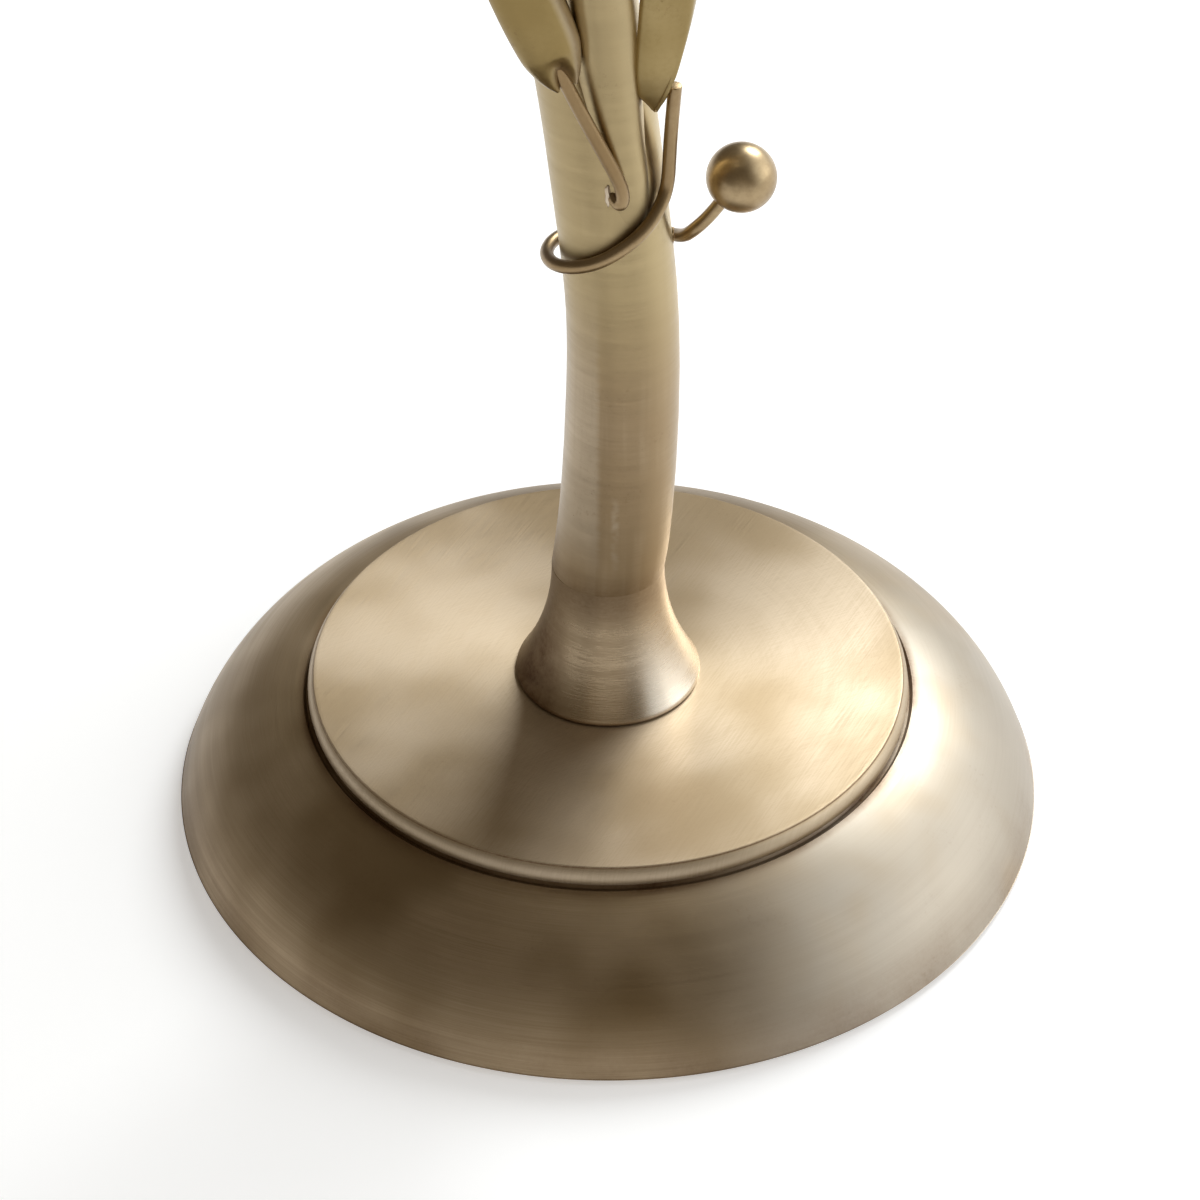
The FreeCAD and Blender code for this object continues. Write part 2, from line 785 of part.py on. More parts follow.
def socket_cap():
    """A spun cup that carries the socket's shell."""
    neck = nipple_radius + cap_wall

    def side(less):
        low = vec(neck_top_radius - less, 0, cap_bottom + less)
        high = vec(socket_radius - less, 0, cap_top)
        middle = (low + high) / 2 + vec(cap_bulge_share, 0, -cap_bulge_share) * (socket_radius - neck)
        return arc(low, middle, high)

    outer = [side(0)] + lines([vec(socket_radius, 0, cap_top), vec(0, 0, cap_top), vec(0, 0, cap_bottom),
                               vec(neck_top_radius, 0, cap_bottom)])
    inner = [side(cap_wall)] + lines([vec(socket_radius - cap_wall, 0, cap_top), vec(0, 0, cap_top),
                                      vec(0, 0, cap_bottom + cap_wall),
                                      vec(neck_top_radius - cap_wall, 0, cap_bottom + cap_wall)])
    cup = revolve(outer).cut(revolve(inner))
    return cup.cut(cylinder(nipple_radius, cap_bottom - overrun, cap_top))


def switch_bore(radius):
    return cylinder(radius, socket_body_radius - overrun, socket_radius + overrun,
                    vec(0, 0, switch_level), vec(0, -1, 0))


def socket_shell():
    shell = ring(socket_radius, socket_radius - socket_wall, cap_top, socket_top)
    return shell.cut(switch_bore(switch_shaft_radius + seat_gap))


def socket_liner():
    outer = socket_radius - socket_wall
    liner = ring(outer, outer - liner_wall, cap_top, socket_top - liner_wall)
    return liner.cut(switch_bore(switch_shaft_radius + seat_gap))


def socket_body():
    """The insulating body, on a post that stands in the cap and is held by the nipple."""
    body = cylinder(socket_body_radius, cap_top, socket_body_top)
    foot = cylinder(nipple_radius + liner_wall, top_nipple_top(), cap_top)
    body = body.fuse(foot).removeSplitter()
    for side in (-1, 1):
        body = body.cut(terminal_screw(side))
    hole = cylinder(switch_shaft_radius + running_gap, 0, socket_body_radius + overrun,
                    vec(0, 0, switch_level), vec(0, -1, 0))
    return body.cut(hole)


def top_nipple_top():
    return stem_top - neck_spigot + top_nipple_length


def terminal_screw(side):
    level = cap_top + (socket_body_top - cap_top) / 2
    axis = vec(side, 0, 0)
    centre = vec(0, 0, level)
    shank = cylinder(terminal_radius / 2, socket_body_radius / 2, socket_body_radius, centre, axis)
    head = cylinder(terminal_radius, socket_body_radius - terminal_head, socket_body_radius + terminal_head / 2,
                    centre, axis)
    return shank.fuse(head).removeSplitter()


def terminal_screws():
    return Part.makeCompound([terminal_screw(side) for side in (-1, 1)])


def screw_shell():
    inner = screw_shell_radius - screw_shell_wall
    shell = ring(screw_shell_radius, inner, socket_body_top, screw_shell_top)
    floor = ring(inner, socket_body_radius - contact_width, socket_body_top, socket_body_top + screw_shell_wall)
    return shell.fuse(floor).removeSplitter()


def centre_contact():
    """A sprung brass tongue that rises to the bulb's tip."""
    half = contact_width / 2
    t = contact_thickness / 2
    low = socket_body_top + t
    high = socket_body_top + contact_rise - t
    points = [vec(-contact_width, 0, low), vec(0, 0, low), vec(half, 0, high), vec(-half, 0, high)]
    path = bent_path(points)
    start = points[0]
    corners = [start + vec(0, y * half, z * t) for y, z in [(-1, -1), (1, -1), (1, 1), (-1, 1), (-1, -1)]]
    return path.makePipeShell([Part.makePolygon(corners)], True, False)


def switch_shaft():
    return cylinder(switch_shaft_radius, socket_body_radius / 2, switch_reach,
                    vec(0, 0, switch_level), vec(0, -1, 0))


def switch_knob():
    """A fluted turn knob that is pressed on the shaft."""
    centre = vec(0, 0, switch_level)
    front = vec(0, -1, 0)
    start = switch_reach - switch_knob_grip
    knob = cylinder(switch_knob_radius, start, start + switch_knob_length, centre, front)
    far = [edge for edge in knob.Edges
           if edge.BoundBox.YMax < -start - overrun and edge.Length > switch_knob_radius * math.pi]
    knob = knob.makeFillet(switch_knob_radius * knob_round_share, far)
    flute = switch_knob_radius * knob_flute_share
    for k in range(knob_flutes):
        a = math.radians(360 / knob_flutes * k)
        at = centre + vec(math.cos(a), 0, math.sin(a)) * (switch_knob_radius + flute / 2)
        knob = knob.cut(cylinder(flute, start - overrun, start + switch_knob_length + overrun, at, front))
    return knob.cut(cylinder(switch_shaft_radius, start - overrun, switch_reach, centre, front))


# Bulb

def bulb_cap():
    """The threaded cap with its insulated tip, turned as a closed cup."""
    cup = cylinder(bulb_cap_radius, bulb_cap_bottom + bulb_cap_wall, bulb_glass_bottom)
    low = [edge for edge in cup.Edges if edge.BoundBox.ZMax < bulb_cap_bottom + bulb_cap_wall + overrun
           and edge.Length > bulb_cap_radius]
    cup = cup.makeChamfer(bulb_cap_radius - bulb_tip_radius - bulb_cap_length * cap_taper_share, low)
    tip = cylinder(bulb_tip_radius, bulb_cap_bottom, bulb_cap_bottom + bulb_cap_wall)
    hollow = cylinder(bulb_cap_radius - bulb_cap_wall, bulb_glass_bottom - bulb_cap_length / 2, bulb_glass_bottom)
    return cup.fuse(tip).cut(hollow)


def bulb_side(less):
    """The glass: a straight neck, a hollow curve tangent to the globe, and the globe up to its crown."""
    globe_level = bulb_glass_bottom + bulb_length - bulb_radius
    neck_level = bulb_glass_bottom + bulb_neck_straight
    rise = globe_level - neck_level
    curve_radius = ((bulb_neck_radius ** 2 + rise ** 2 - bulb_radius ** 2)
                    / (2 * (bulb_radius - bulb_neck_radius)))
    curve_centre = vec(bulb_neck_radius + curve_radius, 0, neck_level)
    tangent = math.atan2(rise, curve_centre.x)
    inner_curve = curve_radius + less
    globe = bulb_radius - less

    def on_curve(angle):
        return curve_centre + vec(-math.cos(angle), 0, math.sin(angle)) * inner_curve

    def on_globe(angle):
        return vec(math.cos(angle), 0, math.sin(angle)) * globe + vec(0, 0, globe_level)

    neck = vec(bulb_neck_radius - less, 0, bulb_glass_bottom)
    crown = on_globe(math.pi / 2)
    edges = lines([neck, on_curve(0)])
    edges.append(arc(on_curve(0), on_curve(tangent / 2), on_curve(tangent)))
    edges.append(arc(on_globe(-tangent), on_globe(math.pi / 4), crown))
    return neck, crown, edges


def bulb_glass():
    outer_neck, outer_crown, outer = bulb_side(0)
    inner_neck, inner_crown, inner = bulb_side(bulb_wall)
    return revolve(outer + inner + lines([outer_crown, inner_crown]) + lines([outer_neck, inner_neck]))


# Harp, ferrules, stud and finial

def harp_points():
    """Half of the harp: a straight leg that leaves the ferrule room to rise, then the bow."""
    span = harp_half_width - saddle_half_span
    leg_top = pin_bottom + ferrule_length + ferrule_travel + harp_bend
    rise = harp_top - leg_top
    side = [vec(saddle_half_span, 0, pin_top), vec(saddle_half_span, 0, leg_top)]
    side += [vec(saddle_half_span + w * span, 0, leg_top + h * rise) for h, w in harp_outline_shares]
    side.append(vec(harp_top_half_width, 0, harp_top - harp_wire_radius))
    return side


def harp():
    """One wire bowed over the bulb, with a flat pad at its top for the stud."""
    side = harp_points()
    mirror = [vec(-p.x, p.y, p.z) for p in side]
    bow = wire_rod(mirror + side[::-1], harp_wire_radius)
    pad = cylinder(stud_seat_radius, harp_top - 2 * harp_wire_radius, harp_top)
    return bow.fuse(pad).removeSplitter()


def ferrule(side):
    """A sleeve that slides on the harp's leg and locks it to the saddle's pin."""
    sleeve = cylinder(ferrule_radius, 0, ferrule_length, vec(side * saddle_half_span, 0, pin_bottom), vec(0, 0, 1))
    ends = [edge for edge in sleeve.Edges if edge.Length > ferrule_radius * math.pi]
    sleeve = sleeve.makeFillet(ferrule_radius * ferrule_round_share, ends)
    bore = cylinder(harp_wire_radius + running_gap, -overrun, ferrule_length + overrun,
                    vec(side * saddle_half_span, 0, pin_bottom), vec(0, 0, 1))
    return sleeve.cut(bore)


def harp_stud():
    seat = cylinder(stud_seat_radius, harp_top, seat_top)
    return seat.fuse(cylinder(stud_radius, seat_top, seat_top + stud_length)).removeSplitter()


def finial():
    """A berry on a turned neck, screwed down on the shade's hub."""
    bottom = hub_top + running_gap
    neck_top_level = bottom + finial_neck_height
    ball_centre = neck_top_level + finial_ball_radius * ball_seat_share
    waist = stud_radius + finial_wall
    profile = lines([vec(0, 0, bottom), vec(finial_neck_radius, 0, bottom)])
    profile.append(arc(vec(finial_neck_radius, 0, bottom), vec(waist, 0, (bottom + neck_top_level) / 2),
                       vec(waist, 0, neck_top_level)))
    profile += lines([vec(waist, 0, neck_top_level), vec(0, 0, neck_top_level), vec(0, 0, bottom)])
    body = revolve(profile).fuse(Part.makeSphere(finial_ball_radius, vec(0, 0, ball_centre))).removeSplitter()
    return body.cut(cylinder(stud_radius + running_gap, 0, seat_top + stud_length + running_gap))


# Shade

def shade_cone(level, less):
    """Radius of the shade's outer face at a level, drawn in by a wall."""
    share = (level - shade_bottom) / shade_height
    return shade_bottom_radius + share * (shade_top_radius - shade_bottom_radius) - less


def shade_fabric():
    outer = Part.makeCone(shade_bottom_radius, shade_top_radius, shade_height, vec(0, 0, shade_bottom))
    inner = Part.makeCone(shade_cone(shade_bottom - overrun, shade_wall),
                          shade_cone(shade_top + overrun, shade_wall),
                          shade_height + 2 * overrun, vec(0, 0, shade_bottom - overrun))
    return outer.cut(inner)


def wire_ring(level):
    radius = shade_cone(level, shade_wall) - shade_ring_radius - running_gap
    return Part.makeTorus(radius, shade_ring_radius, vec(0, 0, level))


def shade_spider():
    """The upper ring, the hub that sits on the stud and the arms between them."""
    level = shade_top - shade_ring_radius
    outer = shade_cone(level, shade_wall) - shade_ring_radius - running_gap
    frame = wire_ring(level)
    frame = frame.fuse(cylinder(hub_radius, hub_bottom, hub_top))
    drop = (hub_bottom + hub_top) / 2
    foot = finial_neck_radius + seat_gap
    for k in range(spider_arm_count):
        a = 90 + 360 / spider_arm_count * k
        bends = [foot + share * (outer - foot) for share in spider_arm_shares]
        points = [polar(foot, a, drop), polar(bends[0], a, drop), polar(bends[1], a, level),
                  polar(outer, a, level)]
        frame = frame.fuse(wire_rod(points, spider_arm_radius))
    bore = cylinder(stud_radius + running_gap, hub_bottom - overrun, hub_top + overrun)
    return frame.cut(bore).removeSplitter()


# Build and write everything

os.makedirs("parts", exist_ok=True)

save("base_shell", base_shell())
save("cord_bushing", cord_bushing())
save("base_disc", base_disc())
save("base_weight", base_weight())
save("base_cover", base_cover())
save("cover_screws", cover_screws())
save("felt_pad", felt_pad())
save("foot_nipple", foot_nipple())
save("foot_washer", foot_washer())
save("foot_nut", foot_nut())
save("stem_foot", stem_foot())
save("foot_plug", foot_plug())
save("main_stem", stem_outer.cut(stem_inner))
side_berry = Part.makeSphere(berry_radius, side_points()[-1])
save("side_stem", side_outer.cut(side_inner).cut(stem_outer).cut(side_berry))
save("side_berry", side_berry)

tendril = wire_rod(tendril_points(), leaf_wire_radius)
berry = Part.makeSphere(berry_radius, berry_centre())
low_stalk = wire_rod(low_stalk_points(), leaf_wire_radius)
low_left_leaf = with_socket(leaf_on(low_stalk_points(), low_left_facing_deg), low_stalk_points())
save("low_right_leaf", leaf_beside_stem().cut(tendril))
save("low_left_leaf", low_left_leaf)
save("low_left_stalk", low_stalk.cut(stem_outer).cut(side_outer))
save("tendril", tendril.cut(stem_outer).cut(berry))
save("tendril_berry", berry)

for name, height_share, azimuth, lean in upper_stalks:
    course = stalk_points(height_share, azimuth, lean)
    stalk = wire_rod(course, leaf_wire_radius).cut(stem_outer)
    leaf = with_socket(leaf_on(course, azimuth), course)
    save(name + "_stalk", stalk)
    save(name + "_leaf", leaf)

for name, height_share, azimuth in upper_berries:
    course = berry_twig_points(height_share, azimuth)
    ball = Part.makeSphere(berry_radius, course[-1])
    save(name + "_berry_twig", wire_rod(course, leaf_wire_radius).cut(stem_outer).cut(ball))
    save(name + "_berry", ball)

save("neck_cap", neck_cap())
save("top_nipple", top_nipple())
save("harp_saddle", harp_saddle())
save("lock_nut", lock_nut())
save("socket_cap", socket_cap())
save("socket_shell", socket_shell())
save("socket_liner", socket_liner())
save("socket_body", socket_body())
save("terminal_screws", terminal_screws())
save("screw_shell", screw_shell())
save("centre_contact", centre_contact())
save("switch_shaft", switch_shaft())
save("switch_knob", switch_knob())
save("bulb_cap", bulb_cap())
save("bulb_glass", bulb_glass())
save("harp", harp())
save("left_ferrule", ferrule(-1))
save("right_ferrule", ferrule(1))
save("harp_stud", harp_stud())
save("finial", finial())
save("shade_fabric", shade_fabric())
save("shade_spider", shade_spider())
save("shade_bottom_ring", wire_ring(shade_bottom + shade_ring_radius))
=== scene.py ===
import math

import bmesh
import bpy
from bpy.props import FloatProperty, FloatVectorProperty, IntProperty, PointerProperty
from mathutils import Matrix, Vector, noise


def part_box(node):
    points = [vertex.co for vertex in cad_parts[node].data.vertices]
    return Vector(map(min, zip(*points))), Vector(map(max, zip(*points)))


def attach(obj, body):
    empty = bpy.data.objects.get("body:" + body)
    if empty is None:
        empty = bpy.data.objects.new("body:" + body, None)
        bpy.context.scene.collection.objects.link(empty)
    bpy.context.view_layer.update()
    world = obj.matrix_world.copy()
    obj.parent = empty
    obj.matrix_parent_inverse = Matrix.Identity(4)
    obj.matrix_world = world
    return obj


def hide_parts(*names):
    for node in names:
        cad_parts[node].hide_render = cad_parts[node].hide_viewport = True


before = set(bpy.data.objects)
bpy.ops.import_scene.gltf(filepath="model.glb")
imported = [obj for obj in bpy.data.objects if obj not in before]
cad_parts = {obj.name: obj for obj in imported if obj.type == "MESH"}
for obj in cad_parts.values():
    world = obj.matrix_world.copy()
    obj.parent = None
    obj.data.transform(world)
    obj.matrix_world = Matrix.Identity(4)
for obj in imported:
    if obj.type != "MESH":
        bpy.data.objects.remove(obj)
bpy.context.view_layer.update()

bl_info = {
    "name": "Buffet lamp",
    "version": (1, 0, 0),
    "blender": (4, 5, 0),
    "location": "3D View > Sidebar > Lamp",
    "description": "Models the brass, linen and glass of a buffet lamp and sets up its studio",
    "category": "Object",
}

# Places that follow from the frame, in metres
stem_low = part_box("main_stem")[0].z
stem_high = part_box("main_stem")[1].z
stem_length = stem_high - stem_low
disc_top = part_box("base_disc")[1].z
disc_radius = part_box("base_disc")[1].x
shell_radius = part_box("base_shell")[1].x
rim_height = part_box("base_shell")[0].z
shoulder_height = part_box("base_shell")[1].z
foot_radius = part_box("stem_foot")[1].x
stem_radius = 0.01295

# Gap round the foot's nipple, the hole for the lead's bushing, and how deep its cut reaches
nipple_gap = 0.0004
bushing_hole_radius = 0.0046
bushing_cut_depth = 0.03

# Disc's rounded side: its middle below the top in bead radii, and its lower and upper angle
bead_drop_share = 0.78
bead_low_deg = -14
bead_high_deg = 44

foot_wall = 0.0016

# How much narrower the shade is at its top, and the thickness of its hems' tape
shade_taper = 0.0255
hem_tape = 0.0005

# Side stem: height share, azimuth from the main stem in degrees, reach share, radius share
side_start = 0.106
side_length = 0.264
side_reach = 0.019
side_radius = 0.0065
side_tip_radius = 0.0044
side_course_shares = [
    (-0.03, -62.0, 0.292, 1.00), (0.00, -62.5, 0.340, 1.00), (0.03, -63.0, 0.363, 1.00),
    (0.06, -64.0, 0.385, 1.00), (0.10, -63.5, 0.43, 1.06), (0.135, -62.5, 0.50, 1.12),
    (0.17, -63.0, 0.60, 1.14), (0.206, -66.0, 0.71, 1.13), (0.28, -71.0, 0.92, 1.05),
    (0.42, -87.0, 1.18, 0.94), (0.58, -102.0, 1.32, 0.88),
    (0.76, -115.0, 1.22, 0.80), (0.90, -122.0, 1.08, 0.73), (1.00, -124.0, 1.04, 0.68),
]

# Tendril round the main stem: height share, azimuth in degrees, stand-off in wire radii
tendril_low = 0.0843
tendril_rise = 0.0505
tendril_course_shares = [
    (1.00, -24.5, 3.75), (0.76, -25.0, 1.95), (0.61, -25.0, 1.10), (0.49, -25.5, 0.50),
    (0.415, -36.0, 0.30), (0.332, -56.0, 0.24), (0.263, -77.0, 0.24), (0.182, -102.0, 0.32),
    (0.120, -128.0, 0.60), (0.073, -154.0, 1.10), (0.042, -180.0, 1.30), (0.02, -207.0, 1.20),
    (0.00, -236.0, 0.75), (-0.01, -264.0, 0.50), (-0.01, -292.0, 0.50), (0.01, -320.0, 0.60),
    (0.070, -344.0, 0.85),
]
twig_azimuth_deg = 4.5
twig_reach = 0.0266
berry_rise = 0.0204
twig_course_shares = [(0.610, 0.34), (0.725, 0.49), (0.820, 0.66)]

# Scar of a weld between the side stem and the lower right leaf
scar_low = 0.1475
scar_azimuth_deg = -51.6
scar_facing_deg = -40.0
scar_stand = 0.0046

# Lower left stalk, from its end that is bent into the stem: height share, azimuth in degrees,
# stand-off in wire radii
low_stalk_low = 0.1085
low_stalk_rise = 0.040
low_stalk_course_shares = [
    (0.045, -86.0, -2.60), (0.000, -81.5, -0.75), (-0.005, -77.8, 0.20), (0.040, -75.0, 0.38),
    (0.14, -76.0, 0.60), (0.35, -86.5, 0.90), (0.58, -97.0, 1.40), (0.80, -105.0, 2.00),
    (1.00, -111.0, 2.70),
]
hook_weld_azimuth_deg = -88.4
hook_weld_rise = 0.0012

# Upper stalks: name, share of the stem's length, azimuth in degrees, lean share
upper_stalks = [
    ("right_rear", 0.360, 38.0, 1.00), ("left_mid", 0.430, 176.0, 1.10),
    ("right_mid", 0.520, -28.0, 1.15), ("rear_mid", 0.600, 112.0, 1.00),
    ("left_high", 0.680, -158.0, 1.10), ("right_high", 0.750, 14.0, 0.95),
]
stalk_rise = 0.040
stalk_reach = 0.017
stalk_course_shares = [(0.00, 0.00), (0.22, 0.10), (0.52, 0.36), (0.80, 0.72), (1.00, 1.04)]

# Upper berries: name, share of the stem's length, azimuth in degrees
upper_berries = [("left", 0.575, -150.0), ("right", 0.440, 62.0)]
berry_twig_course_shares = [(0.00, 0.30), (0.05, 0.50), (0.20, 0.68), (0.52, 0.86)]

# Leaf outline: length share, width share, crown share, bow share
leaf_outline_shares = [
    (0.00, 0.42, 0.30, 0.00), (0.035, 0.60, 0.48, 0.10), (0.09, 0.77, 0.70, 0.30),
    (0.18, 0.93, 0.92, 0.58), (0.32, 1.00, 1.00, 0.88), (0.48, 0.95, 0.97, 1.00),
    (0.66, 0.75, 0.82, 0.86), (0.82, 0.47, 0.56, 0.54), (0.94, 0.20, 0.27, 0.20),
    (1.00, 0.06, 0.08, 0.00),
]
stalk_seat = 0.0115
low_left_facing_deg = -62.0
low_right_facing_deg = -50.0
low_right_azimuth_deg = -33.0
low_right_low = 0.1275
low_right_stand = 0.0024
low_right_lean_deg = 1.0
low_right_lean_azimuth_deg = -20.0

# How far a leaf's sheet wraps round to each side
leaf_wrap_deg = 104

# Brushing: how far its lines reach and how far apart they lie
turned_reach = 4.0
turned_line = 0.00028
tube_reach = 0.009
tube_line = 0.00030
plain_grain = 0.0012

# Heights over which the stem's tone turns olive, above its lower end
olive_low = 0.045
olive_high = 0.095

# Studio: walls of the room by azimuth, elevation, inner and outer angle in degrees, and brightness
room_base = 0.15
room_walls = [(10, 16, 16, 62, 1.35), (6, 2, 5, 30, 1.00), (270, -4, 5, 36, 0.34)]
room_warm = (1.0, 0.84, 0.64)
room_cool = (0.96, 0.985, 1.0)
key_azimuth_deg = 60
key_elevation_deg = 41.3
key_colour = (0.93, 0.975, 1.0)
floor_size = 30.0
floor_drop = 0.0002


def size_property(name, description, default):
    return FloatProperty(name=name, description=description, default=default, min=0.0,
                         subtype="DISTANCE", unit="LENGTH", precision=5)


def share_property(name, description, default, highest=1.0):
    return FloatProperty(name=name, description=description, default=default, min=0.0,
                         max=highest, subtype="FACTOR")


def colour_property(name, description, default):
    return FloatVectorProperty(name=name, description=description, default=default, min=0.0,
                               max=1.0, size=3, subtype="COLOR")


class LampSizes(bpy.types.PropertyGroup):
    """Sizes of the pieces that are modelled here"""
    shoulder_radius: size_property("Shoulder radius", "Where the shell's dome ends at the disc", 0.0712)
    dome_radius: size_property("Dome radius", "Radius of the shell's outline", 0.0416)
    shell_wall: size_property("Shell wall", "Thickness of the spun shell", 0.0015)
    rim_round: size_property("Rim rounding", "Rounding of the shell's lower edge", 0.0005)
    disc_round: size_property("Disc rounding", "Rounding of the disc's upper edge", 0.00035)
    disc_bead: size_property("Disc bead", "Radius of the disc's rounded side", 0.0043)
    foot_edge_round: size_property("Foot rounding", "Rounding of the foot's edge", 0.0024)
    foot_lip: size_property("Foot lip", "Height of the foot's upright edge", 0.0004)
    foot_slope: FloatProperty(name="Foot slope", description="Slope where the flare meets its edge",
                              default=math.radians(35.5), subtype="ANGLE", unit="ROTATION")
    wire_radius: size_property("Wire radius", "Radius of the tendril, twigs and stalks", 0.0015)
    berry_radius: size_property("Berry radius", "Radius of each berry", 0.0077)
    leaf_length: size_property("Leaf length", "Length of a leaf", 0.078)
    leaf_width: size_property("Leaf width", "Width of a leaf", 0.0136)
    leaf_crown: size_property("Leaf crown", "How far a leaf's back bulges", 0.0052)
    leaf_bow: size_property("Leaf bow", "How far a leaf bends along its length", 0.0036)
    leaf_sheet: size_property("Leaf sheet", "Thickness of a leaf's sheet", 0.0009)
    weld_radius: size_property("Weld radius", "Radius of a weld bead", 0.0016)
    cloth_thickness: size_property("Cloth thickness", "Thickness of the shade's lined cloth", 0.0007)
    hem_height: size_property("Hem height", "Height of the shade's rolled hems", 0.009)
    turn_steps: IntProperty(name="Turn steps", description="Steps in a full turn of a turned piece",
                            default=224, min=48)


class LampFinish(bpy.types.PropertyGroup):
    """Colours and finishes"""
    brass_light: colour_property("Light brass", "Brass where it is rubbed bright", (0.53, 0.411, 0.270))
    brass_dark: colour_property("Dark brass", "Brass where it is toned", (0.35, 0.250, 0.138))
    # Tone of the painted highlights on the disc's side, a leaf's lobe and the stem
    painted_highlight_brass: colour_property("Pale brass", "Brass that is rubbed almost grey", (0.55, 0.47, 0.36))
    disc_light: colour_property("Light disc", "The disc where it is rubbed bright", (0.64, 0.52, 0.375))
    disc_dark: colour_property("Dark disc", "The disc where it is toned", (0.44, 0.33, 0.20))
    shell_light: colour_property("Light shell", "The shell where it is rubbed", (0.50, 0.385, 0.25))
    shell_dark: colour_property("Dark shell", "The shell where it is toned", (0.28, 0.195, 0.10))
    wire_light: colour_property("Light wire", "Wires and berries that are rubbed", (0.45, 0.335, 0.190))
    wire_dark: colour_property("Dark wire", "Wires and berries that are toned", (0.27, 0.178, 0.082))
    leaf_light: colour_property("Light leaf", "Leaves where they are rubbed", (0.44, 0.335, 0.160))
    leaf_dark: colour_property("Dark leaf", "Leaves where they are toned", (0.27, 0.190, 0.068))
    # Also the tone of the painted highlights on the shell and the foot
    bare: colour_property("Bare brass", "Brass rubbed to the bare metal", (0.72, 0.64, 0.53))
    olive: colour_property("Olive brass", "The upper stem's yellower tone", (0.48, 0.375, 0.195))
    patina: colour_property("Patina", "Brown in the creases", (0.16, 0.085, 0.035))
    socket_brass: colour_property("Socket brass", "Plain brass of the socket", (0.74, 0.58, 0.34))
    linen: colour_property("Linen", "Threads of the shade", (0.80, 0.755, 0.66))
    lacquer: share_property("Lacquer", "Clear lacquer on the brass", 0.25)
    satin: share_property("Satin", "Roughness of the brushed brass", 0.39)
    brushing: share_property("Brushing", "How far the base's brushing draws out a highlight", 0.70)
    tube_brushing: share_property("Stem brushing",
                                  "How far the stem's brushing draws out a highlight", 0.8)


class LampStudio(bpy.types.PropertyGroup):
    """Camera, lights and floor"""
    camera_distance: size_property("Camera distance", "From the camera to what it aims at", 1.101)
    camera_elevation: FloatProperty(name="Camera elevation", description="Angle above the horizon",
                                    default=math.radians(39.36), subtype="ANGLE", unit="ROTATION")
    camera_aim: FloatVectorProperty(name="Camera aim", description="Point in the middle of the picture",
                                    default=(-0.00186, 0.02724, 0.03322), size=3,
                                    subtype="TRANSLATION", unit="LENGTH")
    camera_lens: FloatProperty(name="Lens", description="Focal length on a 36 mm sensor",
                               default=138.39, unit="CAMERA")
    key_power: FloatProperty(name="Key power", description="Power of the soft key light",
                             default=18.0, subtype="POWER", unit="POWER")
    key_width: size_property("Key width", "Width of the key light", 0.75)
    key_distance: size_property("Key distance", "From the key light to the lamp", 1.7)
    room_level: share_property("Room level", "Brightness of the room", 1.0, 2.0)
    floor_tone: share_property("Floor tone", "Lightness of the floor", 0.89)
    floor_lift: share_property("Floor lift", "Light that the seen floor adds to stay white", 0.42)


def sizes():
    return bpy.context.scene.lamp_sizes


def finish():
    return bpy.context.scene.lamp_finish


def studio():
    return bpy.context.scene.lamp_studio


# Shapes

def polar(radius, azimuth, z=0.0):
    return Vector((radius * math.cos(azimuth), radius * math.sin(azimuth), z))


def smooth_row(rows, steps):
    """Rows of numbers on a smooth curve through the given rows."""
    result = []
    for k in range(len(rows) - 1):
        a, b = Vector(rows[k]), Vector(rows[k + 1])
        before = Vector(rows[k - 1]) if k else 2 * a - b
        after = Vector(rows[k + 2]) if k + 2 < len(rows) else 2 * b - a
        for step in range(steps):
            t = step / steps
            result.append(0.5 * (2 * a + (b - before) * t
                                 + (2 * before - 5 * a + 4 * b - after) * t ** 2
                                 + (3 * a - before - 3 * b + after) * t ** 3))
    result.append(Vector(rows[-1]))
    return result


def arc_row(centre, radius, start, end, steps):
    """Points (radius, height) on an arc between two angles."""
    row = []
    for k in range(steps + 1):
        angle = start + (end - start) * k / steps
        row.append((centre[0] + radius * math.cos(angle), centre[1] + radius * math.sin(angle)))
    return row


def turned(outline):
    """Turns a closed outline of (radius, height) points about the Z axis."""
    bm = bmesh.new()
    verts = [bm.verts.new((radius, 0, height)) for radius, height in outline]
    edges = [bm.edges.new(pair) for pair in zip(verts, verts[1:] + verts[:1])]
    bmesh.ops.spin(bm, geom=verts + edges, cent=(0, 0, 0), axis=(0, 0, 1), angle=math.tau,
                   steps=sizes().turn_steps, use_merge=True)
    bmesh.ops.remove_doubles(bm, verts=bm.verts, dist=1e-7)
    bmesh.ops.recalc_face_normals(bm, faces=bm.faces)
    return bm


def ringed(rings, segments):
    """A closed tube through rings, each a matrix that places a unit circle."""
    bm = bmesh.new()
    loops = []
    spots = {}
    for row, place in enumerate(rings):
        made = bmesh.ops.create_circle(bm, segments=segments, radius=1.0, matrix=place)
        loops.append(list({edge for vert in made["verts"] for edge in vert.link_edges}))
        for column, vert in enumerate(made["verts"]):
            spots[vert] = (column, row)
    for lower, upper in zip(loops, loops[1:]):
        bmesh.ops.bridge_loops(bm, edges=lower + upper)
    bmesh.ops.edgeloop_fill(bm, edges=loops[0])
    bmesh.ops.edgeloop_fill(bm, edges=loops[-1])
    bmesh.ops.recalc_face_normals(bm, faces=bm.faces)
    uv = bm.loops.layers.uv.new("brushing")
    for face in bm.faces:
        highest = max(spots[vert][0] for vert in face.verts)
        for loop in face.loops:
            column, row = spots[loop.vert]
            if highest - column > segments / 2:
                column += segments
            loop[uv].uv = (column / segments, row / len(rings))
    return bm


